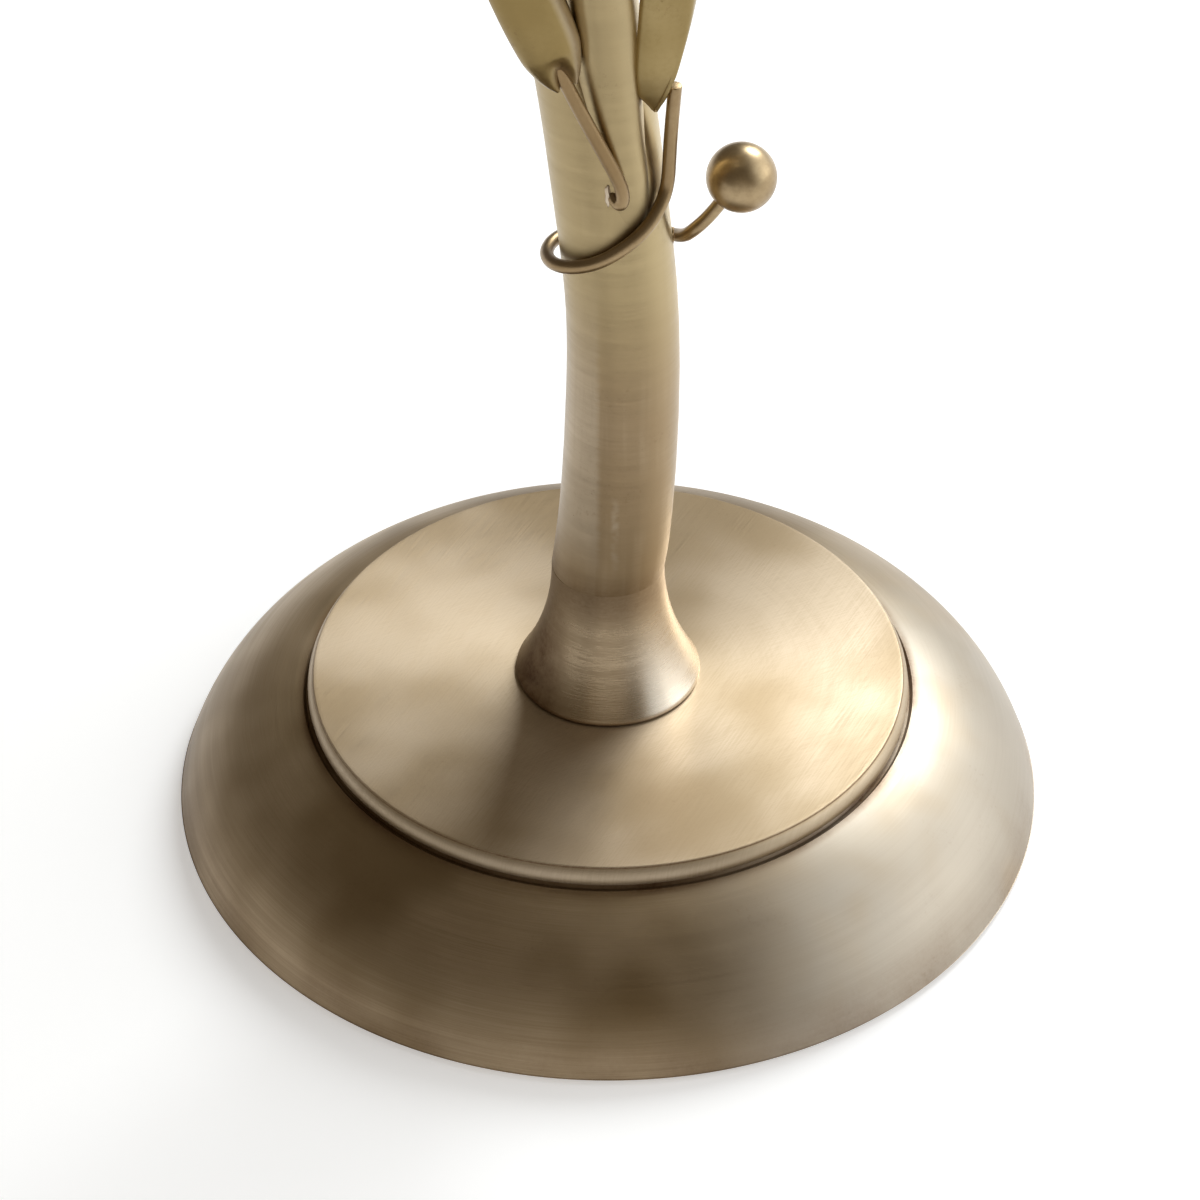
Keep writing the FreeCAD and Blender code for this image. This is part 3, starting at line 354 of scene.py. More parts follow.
def wire(points, radius):
    """A round wire that follows a course, with softly broken ends."""
    curve = bpy.data.curves.new("course", "CURVE")
    curve.dimensions = "3D"
    spline = curve.splines.new("NURBS")
    spline.points.add(len(points) - 1)
    for knot, point in zip(spline.points, points):
        knot.co = (*point, 1.0)
    spline.order_u = 3
    spline.use_endpoint_u = True
    spline.resolution_u = 12
    curve.bevel_depth = radius
    curve.bevel_resolution = 8
    curve.use_fill_caps = True
    holder = bpy.data.objects.new("course", curve)
    mesh = bpy.data.meshes.new_from_object(holder)
    bm = bmesh.new()
    bm.from_mesh(mesh)
    bpy.data.objects.remove(holder)
    bpy.data.curves.remove(curve)
    bpy.data.meshes.remove(mesh)
    bmesh.ops.remove_doubles(bm, verts=bm.verts, dist=1e-6)
    bmesh.ops.recalc_face_normals(bm, faces=bm.faces)
    ends = [edge for edge in bm.edges if edge.calc_face_angle(0.0) > math.radians(60)]
    bmesh.ops.bevel(bm, geom=ends, offset=radius * 0.18, segments=3, affect="EDGES", profile=0.5,
                    material=-1)
    return bm


def ball(centre, radius):
    bm = bmesh.new()
    bmesh.ops.create_icosphere(bm, subdivisions=5, radius=radius, matrix=Matrix.Translation(centre))
    return bm


def copied(node):
    """The node's own shape with its loose triangles joined."""
    bm = bmesh.new()
    bm.from_mesh(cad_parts[node].data)
    bmesh.ops.remove_doubles(bm, verts=bm.verts, dist=1e-6)
    return bm


def add_piece(name, bm, material, nodes=(), body="lamp", crease_deg=32.0):
    """Puts a finished mesh in the scene, shaded smooth between its creases."""
    for face in bm.faces:
        face.smooth = True
    for edge in bm.edges:
        edge.smooth = edge.calc_face_angle(0.0) < math.radians(crease_deg)
    mesh = bpy.data.meshes.new(name)
    bm.to_mesh(mesh)
    bm.free()
    mesh.materials.append(material)
    piece = bpy.data.objects.new(name, mesh)
    bpy.context.scene.collection.objects.link(piece)
    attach(piece, body)
    if nodes:
        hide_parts(*nodes)
    return piece


def dress(node, material):
    """Gives a node that keeps its own shape its finish."""
    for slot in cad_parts[node].material_slots:
        slot.material = material


# Course of the main stem, read from the frame

def read_stem():
    """Centre and half widths of the main stem at even levels."""
    levels = 120
    bm = copied("main_stem")
    rows = []
    for k in range(levels + 1):
        z = stem_low + stem_length * min(max(k / levels, 0.0005), 0.9995)
        cut = bmesh.ops.bisect_plane(bm, geom=bm.verts[:] + bm.edges[:] + bm.faces[:], dist=1e-7,
                                     plane_co=(0, 0, z), plane_no=(0, 0, 1))
        at = [part.co for part in cut["geom_cut"] if isinstance(part, bmesh.types.BMVert)]
        low = Vector((min(p.x for p in at), min(p.y for p in at)))
        high = Vector((max(p.x for p in at), max(p.y for p in at)))
        rows.append((z, (low + high) / 2, (high - low) / 2))
    bm.free()
    return rows


stem_rows = read_stem()


def stem_at(z):
    """Centre and radius of the main stem at a height."""
    share = min(max((z - stem_low) / stem_length, 0.0), 1.0) * (len(stem_rows) - 1)
    k = min(int(share), len(stem_rows) - 2)
    mix = share - k
    centre = stem_rows[k][1].lerp(stem_rows[k + 1][1], mix)
    half = stem_rows[k][2].lerp(stem_rows[k + 1][2], mix)
    return centre, half.y


def beside_stem(z, azimuth_deg, stand_off):
    """A point at a distance from the main stem's surface."""
    centre, radius = stem_at(z)
    side = polar(radius + stand_off, math.radians(azimuth_deg))
    return Vector((centre.x + side.x, centre.y + side.y, z))


def from_stem(z, azimuth_deg, reach):
    """A point at a distance from the main stem's axis."""
    centre = stem_at(z)[0]
    side = polar(reach, math.radians(azimuth_deg))
    return Vector((centre.x + side.x, centre.y + side.y, z))


def box_centre(node):
    low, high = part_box(node)
    return (low + high) / 2


def course_beside(low, rise, shares):
    """Points beside the stem from rows of height share, azimuth and stand-off in wire radii."""
    radius = sizes().wire_radius
    return [beside_stem(stem_low + low + h * rise, azimuth, radius * (1 + stand_off))
            for h, azimuth, stand_off in shares]


def tendril_points():
    points = course_beside(tendril_low, tendril_rise, tendril_course_shares)
    centre = stem_at(stem_low + tendril_low)[0]
    berry = box_centre("tendril_berry")
    azimuth = math.radians(twig_azimuth_deg)
    for reach, rise in twig_course_shares:
        step = polar(reach * (berry.x - centre.x), azimuth)
        points.append(Vector((centre.x + step.x, centre.y + step.y,
                              stem_low + tendril_low + rise * berry_rise)))
    points.append(berry)
    return points


def low_stalk_points():
    return course_beside(low_stalk_low, low_stalk_rise, low_stalk_course_shares)


def stalk_points(share, azimuth_deg, lean):
    start = stem_low + share * stem_length
    radius = sizes().wire_radius
    return [beside_stem(start + rise * stalk_rise, azimuth_deg, radius / 2 + lean * reach * stalk_reach)
            for rise, reach in stalk_course_shares]


def berry_twig_points(share, azimuth_deg):
    start = stem_low + share * stem_length
    centre = stem_at(start)[0]
    azimuth = math.radians(azimuth_deg)
    points = []
    for rise, reach in berry_twig_course_shares + [(1.0, 1.0)]:
        step = polar(reach * twig_reach, azimuth)
        points.append(Vector((centre.x + step.x, centre.y + step.y, start + rise * berry_rise)))
    return points


def side_rings():
    """Places of the side stem's rings, square to its course."""
    slope = (side_radius - side_tip_radius) / (1 - side_course_shares[-1][3])
    rows = []
    for h, azimuth, reach, share in side_course_shares:
        at = from_stem(stem_low + side_start + h * side_length, azimuth, reach * side_reach)
        rows.append((*at, side_radius - (1 - share) * slope))
    rows = smooth_row(rows, 8)
    rings = []
    for k, row in enumerate(rows):
        before, after = rows[max(k - 1, 0)], rows[min(k + 1, len(rows) - 1)]
        tangent = (after - before).to_3d()
        turn = Vector((0, 0, 1)).rotation_difference(tangent).to_matrix().to_4x4()
        rings.append(Matrix.Translation(row.to_3d()) @ turn @ Matrix.Scale(row[3], 4))
    return rings


# Materials

class Shader:
    """Builds a material's nodes, one at a time."""

    def __init__(self, name):
        self.material = bpy.data.materials.new(name)
        self.material.use_nodes = True
        self.tree = self.material.node_tree
        self.surface = self.tree.nodes["Principled BSDF"]
        self.place = self.add("ShaderNodeTexCoord").outputs["Object"]

    def add(self, kind, **settings):
        node = self.tree.nodes.new(kind)
        for key, value in settings.items():
            setattr(node, key, value)
        return node

    def put(self, socket, value):
        if isinstance(value, bpy.types.NodeSocket):
            self.tree.links.new(value, socket)
        else:
            socket.default_value = value

    def math(self, operation, a, b=0.0, clamp=False):
        node = self.add("ShaderNodeMath", operation=operation, use_clamp=clamp)
        self.put(node.inputs[0], a)
        self.put(node.inputs[1], b)
        return node.outputs[0]

    def plus(self, a, b):
        return self.math("ADD", a, b)

    def minus(self, a, b):
        return self.math("SUBTRACT", a, b)

    def times(self, *factors):
        product = factors[0]
        for factor in factors[1:]:
            product = self.math("MULTIPLY", product, factor)
        return product

    def apart(self, a, b):
        """How far one value is from another, either way."""
        return self.math("ABSOLUTE", self.minus(a, b))

    def vector(self, operation, a, b):
        node = self.add("ShaderNodeVectorMath", operation=operation)
        self.put(node.inputs[0], a)
        self.put(node.inputs[1], b)
        return node.outputs["Value" if operation in ("DOT_PRODUCT", "DISTANCE") else "Vector"]

    def split(self, vector):
        node = self.add("ShaderNodeSeparateXYZ")
        self.put(node.inputs[0], vector)
        return node.outputs[:]

    def join(self, x, y, z):
        node = self.add("ShaderNodeCombineXYZ")
        for socket, value in zip(node.inputs, (x, y, z)):
            self.put(socket, value)
        return node.outputs[0]

    def ramp(self, value, low, high, start=0.0, end=1.0):
        """A smooth step of a value from one level to another."""
        node = self.add("ShaderNodeMapRange", interpolation_type="SMOOTHSTEP")
        for socket, item in zip(node.inputs, (value, low, high, start, end)):
            self.put(socket, item)
        return node.outputs[0]

    def noise(self, vector, size, detail=3.0, roughness=0.55):
        """Noise whose features are about the given size."""
        node = self.add("ShaderNodeTexNoise")
        self.put(node.inputs["Vector"], vector)
        self.put(node.inputs["Scale"], 1.0 / size)
        self.put(node.inputs["Detail"], detail)
        self.put(node.inputs["Roughness"], roughness)
        return node.outputs["Fac"]

    def mix(self, factor, a, b):
        node = self.add("ShaderNodeMix", data_type="RGBA")
        self.put(node.inputs[0], factor)
        for socket, value in ((node.inputs[6], a), (node.inputs[7], b)):
            self.put(socket, value if isinstance(value, bpy.types.NodeSocket) else (*value[:3], 1.0))
        return node.outputs[2]

    def pits(self, size, radius, share):
        """Round specks: one in each of a share of cells."""
        node = self.add("ShaderNodeTexVoronoi")
        self.put(node.inputs["Vector"], self.place)
        self.put(node.inputs["Scale"], 1.0 / size)
        speck = self.ramp(node.outputs["Distance"], radius / size * 0.5, radius / size, 1.0, 0.0)
        chosen = self.split(node.outputs["Color"])[0]
        return self.times(speck, self.math("LESS_THAN", chosen, share))

    def bump(self, height, depth, strength):
        node = self.add("ShaderNodeBump")
        self.put(node.inputs["Strength"], strength)
        self.put(node.inputs["Distance"], depth)
        self.put(node.inputs["Height"], height)
        return node.outputs[0]

    def set(self, **values):
        for name, value in values.items():
            socket = self.surface.inputs[name.replace("_", " ")]
            if isinstance(value, tuple) and len(value) == 3 and socket.type == "RGBA":
                value = (*value, 1.0)
            self.put(socket, value)


def brushed_vector(shader, manner):
    """Coordinates that stretch a fine noise along the brushing."""
    if manner == "plain":
        return shader.vector("MULTIPLY", shader.place, (1 / plain_grain,) * 3)
    x, y, z = shader.split(shader.place)
    if manner == "tube":
        return shader.join(shader.times(x, 1 / tube_reach), shader.times(y, 1 / tube_reach),
                           shader.times(z, 1 / tube_line))
    radius = shader.math("SQRT", shader.plus(shader.times(x, x), shader.times(y, y)))
    round_x = shader.math("DIVIDE", x, radius)
    round_y = shader.math("DIVIDE", y, radius)
    return shader.join(shader.times(round_x, turned_reach), shader.times(round_y, turned_reach),
                       shader.times(shader.minus(z, radius), 1 / turned_line))


def scratch_lines(shader, turn_deg, length, width):
    """Long fine scratches that lie on one direction of the level plane."""
    turn = math.radians(turn_deg)
    along = shader.vector("DOT_PRODUCT", shader.place, (math.cos(turn), math.sin(turn), 0))
    across = shader.vector("DOT_PRODUCT", shader.place, (-math.sin(turn), math.cos(turn), 0))
    return shader.noise(shader.join(shader.times(along, 1 / length), shader.times(across, 1 / width),
                                    0.0), 1.0, 3.0)


def scratched_line(shader, line, share):
    """The brushing's lines with straight scratches over them, stronger in patches."""
    fine = scratch_lines(shader, 63.0, 0.014, 0.00036)
    other = scratch_lines(shader, 28.0, 0.006, 0.00030)
    where = shader.ramp(shader.noise(shader.place, 0.035, 1.0), 0.35, 0.62, 0.35, 1.0)
    kept = 0.35
    brushed = shader.plus(shader.times(line, kept), (1 - kept) / 2)
    cross = shader.times(shader.minus(other, 0.5), share / 2)
    lift = shader.times(shader.minus(fine, 0.5), share)
    return shader.plus(shader.plus(brushed, cross), shader.times(lift, where))


def pit_column(shader):
    """Close pits in a short column on the lower stem's left side."""
    x, z = shader.split(shader.place)[::2]
    row = shader.times(shader.ramp(x, -0.0072, -0.0078), shader.ramp(x, -0.0102, -0.0096))
    level = shader.times(shader.ramp(z, 0.084, 0.088), shader.ramp(z, 0.116, 0.110))
    return shader.times(shader.pits(0.0026, 0.00024, 0.45), shader.times(row, level))


def brass(name, manner, light, dark, satin, stain=None, tint=0.0, mottling=0.5, scratched=0.0,
          pale=None, drawn=1.0):
    """Satin antique brass, brushed in a turned, tube or plain manner.

    The stain gives how brown the metal is by its place, from stains, patina and painted shade,
    and pale where highlights and reflections are painted, and to what tone. Drawn is how far its
    brushing draws out a highlight, against the other turned pieces."""
    look = finish()
    shader = Shader(name)
    cloud = shader.noise(shader.place, 0.040, 2.0)
    toned = shader.ramp(shader.plus(cloud, tint), 0.34, 0.68)
    colour = shader.mix(toned, light, dark)
    streaks = shader.noise(brushed_vector(shader, manner), 1.0, 4.0, 0.62)
    broad = shader.noise(brushed_vector(shader, manner), 9.0, 2.0)
    line = shader.plus(shader.times(streaks, 0.6), shader.times(broad, 0.4))
    if scratched:
        line = scratched_line(shader, line, scratched)
    colour = shader.mix(shader.ramp(line, 0.38, 0.68, 0.0, 0.36), colour, dark)
    if manner == "tube":
        upright = shader.vector("MULTIPLY", shader.place, (1 / 0.0032, 1 / 0.0032, 1 / 0.12))
        bands = shader.noise(upright, 1.0, 2.0)
        colour = shader.mix(shader.ramp(bands, 0.40, 0.58, 0.0, 0.70), colour, dark)
        z = shader.split(shader.place)[2]
        high = shader.ramp(z, stem_low + olive_low, stem_low + olive_high, 0.0, 0.8)
        colour = shader.mix(high, colour, look.olive)
    if pale is not None:
        where, tone = pale
        colour = shader.mix(where(shader), colour, tone)
    grain = shader.noise(shader.place, 0.0011, 4.0, 0.75)
    patches = shader.noise(shader.place, 0.019, 3.0)
    mottle = shader.times(shader.ramp(grain, 0.52, 0.74), shader.ramp(patches, 0.46, 0.72), mottling)
    colour = shader.mix(mottle, colour, look.patina)
    rough = shader.ramp(line, 0.30, 0.70, satin - 0.04, satin + 0.07)
    if stain is not None:
        ragged = shader.times(shader.minus(grain, 0.5), 1.1)
        brown = shader.math("MULTIPLY", stain(shader), shader.plus(ragged, 0.95), clamp=True)
        colour = shader.mix(brown, colour, look.patina)
        rough = shader.plus(rough, shader.times(brown, 0.15))
    pits = shader.pits(0.0105, 0.00026, 0.14)
    if manner == "tube":
        pits = shader.math("MAXIMUM", pits, pit_column(shader))
    colour = shader.mix(shader.times(pits, 0.8), colour, look.patina)
    height = shader.minus(line, shader.times(pits, 2.0))
    shader.set(Base_Color=colour, Metallic=1.0, Roughness=rough, Coat_Weight=look.lacquer,
               Coat_Roughness=0.28, Normal=shader.bump(height, 0.00003, 0.5))
    if manner == "turned":
        tangent = shader.add("ShaderNodeTangent", direction_type="RADIAL", axis="Z")
        shader.set(Anisotropic=look.brushing * drawn)
    if manner == "tube":
        tangent = shader.add("ShaderNodeTangent", direction_type="UV_MAP", uv_map="brushing")
        shader.set(Anisotropic=look.tube_brushing)
    if manner != "plain":
        shader.set(Anisotropic_Rotation=0.25, Tangent=tangent.outputs[0])


def radius_of(shader):
    x, y = shader.split(shader.place)[:2]
    flat = shader.join(x, y, 0.0)
    return shader.vector("DISTANCE", flat, (0.0, 0.0, 0.0))


def shell_stain(shader):
    """Brown beside the disc and along the lower rim."""
    radius = radius_of(shader)
    uneven = shader.ramp(shader.noise(shader.place, 0.022, 2.0), 0.35, 0.65, 0.35, 0.85)
    groove = shader.ramp(radius, disc_radius + 0.0007, disc_radius + 0.0034, 1.0, 0.0)
    rim = shader.ramp(radius, shell_radius - 0.0065, shell_radius + 0.001, 0.0, 0.45)
    return shader.times(shader.math("MAXIMUM", groove, rim), uneven)


def disc_stain(shader):
    """Brown at the disc's lower edge, and a thin line of it round the upper one."""
    z = shader.split(shader.place)[2]
    low = shader.ramp(z, shoulder_height + 0.0002, shoulder_height + 0.0011, 0.85, 0.0)
    away = shader.apart(z, disc_top - 0.00032)
    return shader.math("MAXIMUM", low, shader.ramp(away, 0.00005, 0.00026, 0.75, 0.0))


def joint_stain_and_contact_shade(shader):
    """A ring of brown where the stem is joined to its foot, and brown at the foot's lower edge on the
    disc, which is part patina and part painted contact shade.
    """
    z = shader.split(shader.place)[2]
    away = shader.apart(z, stem_low - 0.0020)
    joint = shader.ramp(away, 0.0010, 0.0095, 0.40, 0.0)
    # Painted contact shade with patina where the foot stands on the disc
    low = shader.ramp(z, disc_top + 0.0001, disc_top + 0.0010, 0.8, 0.0)
    return shader.math("MAXIMUM", joint, low)


def leaf_stain(shader):
    """Brown round a leaf's mouth."""
    return shader.add("ShaderNodeAttribute", attribute_name="crease").outputs["Fac"]


def painted_highlight_leaf(shader):
    """One lobe of a leaf, painted pale as a highlight, from its rubbed attribute."""
    return shader.add("ShaderNodeAttribute", attribute_name="rubbed").outputs["Fac"]


def foot_stain_and_painted_shade(shader):
    """The joint's brown, and a painted shade on the left front of the foot."""
    x, y = shader.split(shader.place)[:2]
    # Painted shade: the foot's left front is darker
    side = shader.ramp(x, -0.0170, -0.0070, 0.95, 0.0)
    front = shader.ramp(y, -0.006, 0.006, 1.0, 0.0)
    uneven = shader.ramp(shader.noise(shader.place, 0.006, 3.0), 0.30, 0.60, 0.65, 1.0)
    return shader.math("MAXIMUM", joint_stain_and_contact_shade(shader), shader.times(side, front, uneven))


def painted_highlight_foot(shader):
    """The foot's other side, painted pale as a highlight."""
    x, y, z = shader.split(shader.place)
    side = shader.ramp(x, 0.001, 0.011, 0.0, 0.85)
    low = shader.ramp(z, disc_top + 0.004, stem_low - 0.002, 1.0, 0.0)
    return shader.times(side, low, shader.ramp(y, -0.004, 0.012, 1.0, 0.0))


def painted_highlight_shell(shader):
    """The shell's right side, painted pale in soft patches as a highlight."""
    x, y = shader.split(shader.place)[:2]
    side = shader.ramp(x, 0.005, 0.055, 0.0, 0.85)
    uneven = shader.ramp(shader.noise(shader.place, 0.030, 2.0), 0.30, 0.60, 0.55, 1.0)
    return shader.times(side, uneven, shader.ramp(y, 0.02, 0.07, 1.0, 0.3))


def painted_highlight_disc_side(shader):
    """The disc's side, painted pale as a highlight."""
    z = shader.split(shader.place)[2]
    below = shader.ramp(z, disc_top - 0.0010, disc_top - 0.0005, 0.35, 0.0)
    return shader.times(below, shader.ramp(z, disc_top - 0.0036, disc_top - 0.0026))


def painted_reflection_stem(shader):
    """A side of the stem painted pale as a reflection, with a ragged edge, and a thin bright streak
    that is a painted highlight.
    """
    x, y, z = shader.split(shader.place)
    ragged = shader.times(shader.noise(brushed_vector(shader, "tube"), 3.0, 3.0), 0.0012)
    at = shader.plus(x, ragged)
    # Painted reflection: a pale band on the stem's left front
    side = shader.ramp(at, -0.0026, -0.0008, 0.42, 0.0)
    front = shader.ramp(y, -0.004, 0.002, 1.0, 0.0)
    low = shader.ramp(z, stem_low + 0.002, stem_low + 0.020)
    # Painted highlight: a thin bright streak beside the band
    streak = shader.ramp(shader.apart(at, 0.0021), 0.0001, 0.0013, 0.50, 0.0)
    broken = shader.ramp(shader.noise(shader.place, 0.0045, 2.0), 0.30, 0.62)
    short = shader.times(shader.ramp(z, stem_low + 0.022, stem_low + 0.030, 1.0, 0.0), broken)
    both = shader.plus(side, shader.times(streak, short))
    below = shader.ramp(z, stem_low + olive_low, stem_low + olive_high, 1.0, 0.0)
    return shader.times(both, front, shader.times(low, below))


def plain(name, colour, roughness, metallic=0.0, grain=0.0012, depth=0.00004, variation=0.12, **more):
    """A simple finish with a fine grain and a slight change of tone."""
    shader = Shader(name)
    fine = shader.noise(shader.place, grain, 3.0)
    cloud = shader.noise(shader.place, 0.025, 2.0)
    dark = tuple(c * (1 - 2.2 * variation) for c in colour)
    tone = shader.times(shader.plus(fine, cloud), 0.5)
    shader.set(Base_Color=shader.mix(shader.ramp(tone, 0.35, 0.65), colour, dark), Metallic=metallic,
               Roughness=shader.ramp(fine, 0.3, 0.7, roughness - 0.05, roughness + 0.07),
               Normal=shader.bump(fine, depth, 0.6), **more)


def woven(name, colour, pitch, relief):
    """Plain-woven linen with uneven threads, on the piece's own map in metres."""
    shader = Shader(name)
    mapped = shader.add("ShaderNodeUVMap", uv_map="cloth").outputs[0]
    u, v = shader.split(mapped)[:2]
    across, along = 2200, 45
    slub_u = shader.noise(shader.join(shader.times(u, across), shader.times(v, along), 0.0), 1.0, 3.0)
    slub_v = shader.noise(shader.join(shader.times(u, along), shader.times(v, across), 7.0), 1.0, 3.0)
    wave_u = shader.math("SINE", shader.times(u, math.tau / pitch))
    wave_v = shader.math("SINE", shader.times(v, math.tau / pitch))
    thick = shader.plus(shader.times(slub_u, 1.2), shader.times(slub_v, 1.2))
    height = shader.plus(shader.times(wave_u, wave_v, 0.45), thick)
    dark = tuple(c * 0.80 for c in colour)
    thread = shader.mix(shader.ramp(height, 0.6, 1.9), dark, colour)
    warm = tuple(c * t for c, t in zip(colour, (0.97, 0.94, 0.88)))
    cloud = shader.ramp(shader.noise(shader.place, 0.05, 2.0), 0.35, 0.7, 0.0, 0.35)
    shader.set(Base_Color=shader.mix(cloud, thread, warm), Roughness=0.92,
               Normal=shader.bump(height, relief, 0.8), Sheen_Weight=0.15, Sheen_Roughness=0.5)


def ready_materials():
    """Makes each finish once and gives them by name."""
    look = finish()
    if "brass_tube" not in bpy.data.materials:
        light, dark, satin = tuple(look.brass_light), tuple(look.brass_dark), look.satin
        bare = tuple(look.bare)
        # Tone of the painted highlight on the shell's right side
        shell_highlight_tone = tuple(0.585 * c for c in bare)
        brass("brass_shell", "turned", tuple(look.shell_light), tuple(look.shell_dark), satin + 0.03,
              shell_stain, mottling=0.22, pale=(painted_highlight_shell, shell_highlight_tone), drawn=0.85)
        brass("brass_disc", "turned", tuple(look.disc_light), tuple(look.disc_dark), satin + 0.07,
              disc_stain, mottling=0.16, scratched=0.85, pale=(painted_highlight_disc_side, look.painted_highlight_brass),
              drawn=0.62)
        # The foot gets a painted shade on its left front and a painted highlight on its right
        brass("brass_foot", "turned", light, dark, satin - 0.12, foot_stain_and_painted_shade, tint=0.02,
              mottling=0.22, pale=(painted_highlight_foot, bare), drawn=1.12)
        brass("brass_tube", "tube", light, dark, satin - 0.04, joint_stain_and_contact_shade, tint=0.06,
              mottling=0.30, pale=(painted_reflection_stem, look.painted_highlight_brass))
        brass("brass_branch", "tube", light, dark, satin - 0.04, tint=0.12, mottling=0.40)
        brass("brass_weld", "plain", bare, light, satin, mottling=0.60)
        brass("brass_wire", "plain", tuple(look.wire_light), tuple(look.wire_dark), satin - 0.04,
              tint=0.04, mottling=0.50)
        brass("brass_leaf", "plain", tuple(look.leaf_light), tuple(look.leaf_dark), satin - 0.06,
              leaf_stain, tint=0.04, mottling=0.85, pale=(painted_highlight_leaf, look.painted_highlight_brass))
        # Colour, roughness, metallic, size and depth of the grain, change of tone
        plain("socket_spun", look.socket_brass, 0.30, 1.0, 0.0006)
        plain("zinc", (0.62, 0.62, 0.60), 0.38, 1.0, 0.003)
        plain("frame_white", (0.80, 0.78, 0.73), 0.42, 0.0, 0.002)
        plain("cast_iron", (0.13, 0.13, 0.13), 0.75, 0.3, 0.0015, 0.0002, 0.2)
        plain("felt", (0.13, 0.09, 0.06), 0.98, 0.0, 0.0007, 0.0003, 0.25)
        plain("black_moulding", (0.035, 0.035, 0.035), 0.42, 0.0, 0.0008, 0.00002)
        plain("card", (0.45, 0.33, 0.21), 0.85, 0.0, 0.0009, 0.00006, 0.2)
        plain("unglazed_white", (0.82, 0.80, 0.76), 0.6, 0.0, 0.0008, 0.00002, 0.05)
        plain("bulb_cap_metal", (0.78, 0.78, 0.78), 0.28, 1.0, 0.0008, 0.00002, 0.06)
        plain("frosted_glass", (0.93, 0.93, 0.91), 0.5, 0.0, 0.0008, 0.00001, 0.02,
              Transmission_Weight=0.35, IOR=1.5)
        woven("linen", tuple(look.linen), 0.00095, 0.00016)
    return bpy.data.materials


# Pieces of the base

def dome_centre():
    """Centre (radius, height) of the shell's round side."""
    rim = Vector((shell_radius, rim_height))
    shoulder = Vector((sizes().shoulder_radius, shoulder_height))
    chord = shoulder - rim
    inward = Vector((-chord.y, chord.x)).normalized()
    away = math.sqrt(sizes().dome_radius ** 2 - (chord.length / 2) ** 2)
    return (rim + shoulder) / 2 + inward * away


def shell_outline():
    size = sizes()
    centre = dome_centre()
    radius, wall, edge = size.dome_radius, size.shell_wall, size.rim_round
    low = math.asin((rim_height + edge - centre.y) / radius)
    high = math.acos((size.shoulder_radius + edge - centre.x) / radius)
    row = [(shell_radius - wall, rim_height), (shell_radius - edge, rim_height)]
    row += arc_row((shell_radius - edge, rim_height + edge), edge, -math.pi / 3, -0.1, 3)
    row += arc_row(centre, radius, low, high, 72)
    groove = disc_radius + 0.0001
    row += [(size.shoulder_radius + edge * 0.4, shoulder_height - edge * 0.1),
            (size.shoulder_radius, shoulder_height - edge * 0.5),
            (groove + edge * 0.6, shoulder_height - edge * 1.5),
            (groove - edge, shoulder_height - edge * 1.6),
            (groove - 2 * edge, shoulder_height - edge * 0.1)]
    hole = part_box("foot_nipple")[1].x + nipple_gap
    row += [(hole, shoulder_height - edge * 0.1), (hole, shoulder_height - wall - edge * 0.1)]
    inner = radius - wall
    high = math.asin((shoulder_height - wall - edge * 0.1 - centre.y) / inner)
    low = math.asin((rim_height - centre.y) / inner)
    row += arc_row(centre, inner, high, low, 24)[:-1]
    return row


def pierced(bm, centre, direction, radius, depth):
    """Cuts a round hole through a mesh."""
    cutter = bmesh.new()
    turn = Vector((0, 0, 1)).rotation_difference(direction).to_matrix().to_4x4()
    bmesh.ops.create_cone(cutter, cap_ends=True, segments=48, radius1=radius, radius2=radius,
                          depth=depth, matrix=Matrix.Translation(centre) @ turn)
    holders = []
    for name, made in (("cut_body", bm), ("cut_tool", cutter)):
        mesh = bpy.data.meshes.new(name)
        made.to_mesh(mesh)
        made.free()
        holders.append(bpy.data.objects.new(name, mesh))
        bpy.context.scene.collection.objects.link(holders[-1])
    body, tool = holders
    cut = body.modifiers.new("hole", "BOOLEAN")
    cut.object = tool
    cut.operation = "DIFFERENCE"
    cut.solver = "EXACT"
    graph = bpy.context.evaluated_depsgraph_get()
    result = bmesh.new()
    result.from_mesh(body.evaluated_get(graph).to_mesh())
    for holder in holders:
        mesh = holder.data
        bpy.data.objects.remove(holder)
        bpy.data.meshes.remove(mesh)
    return result


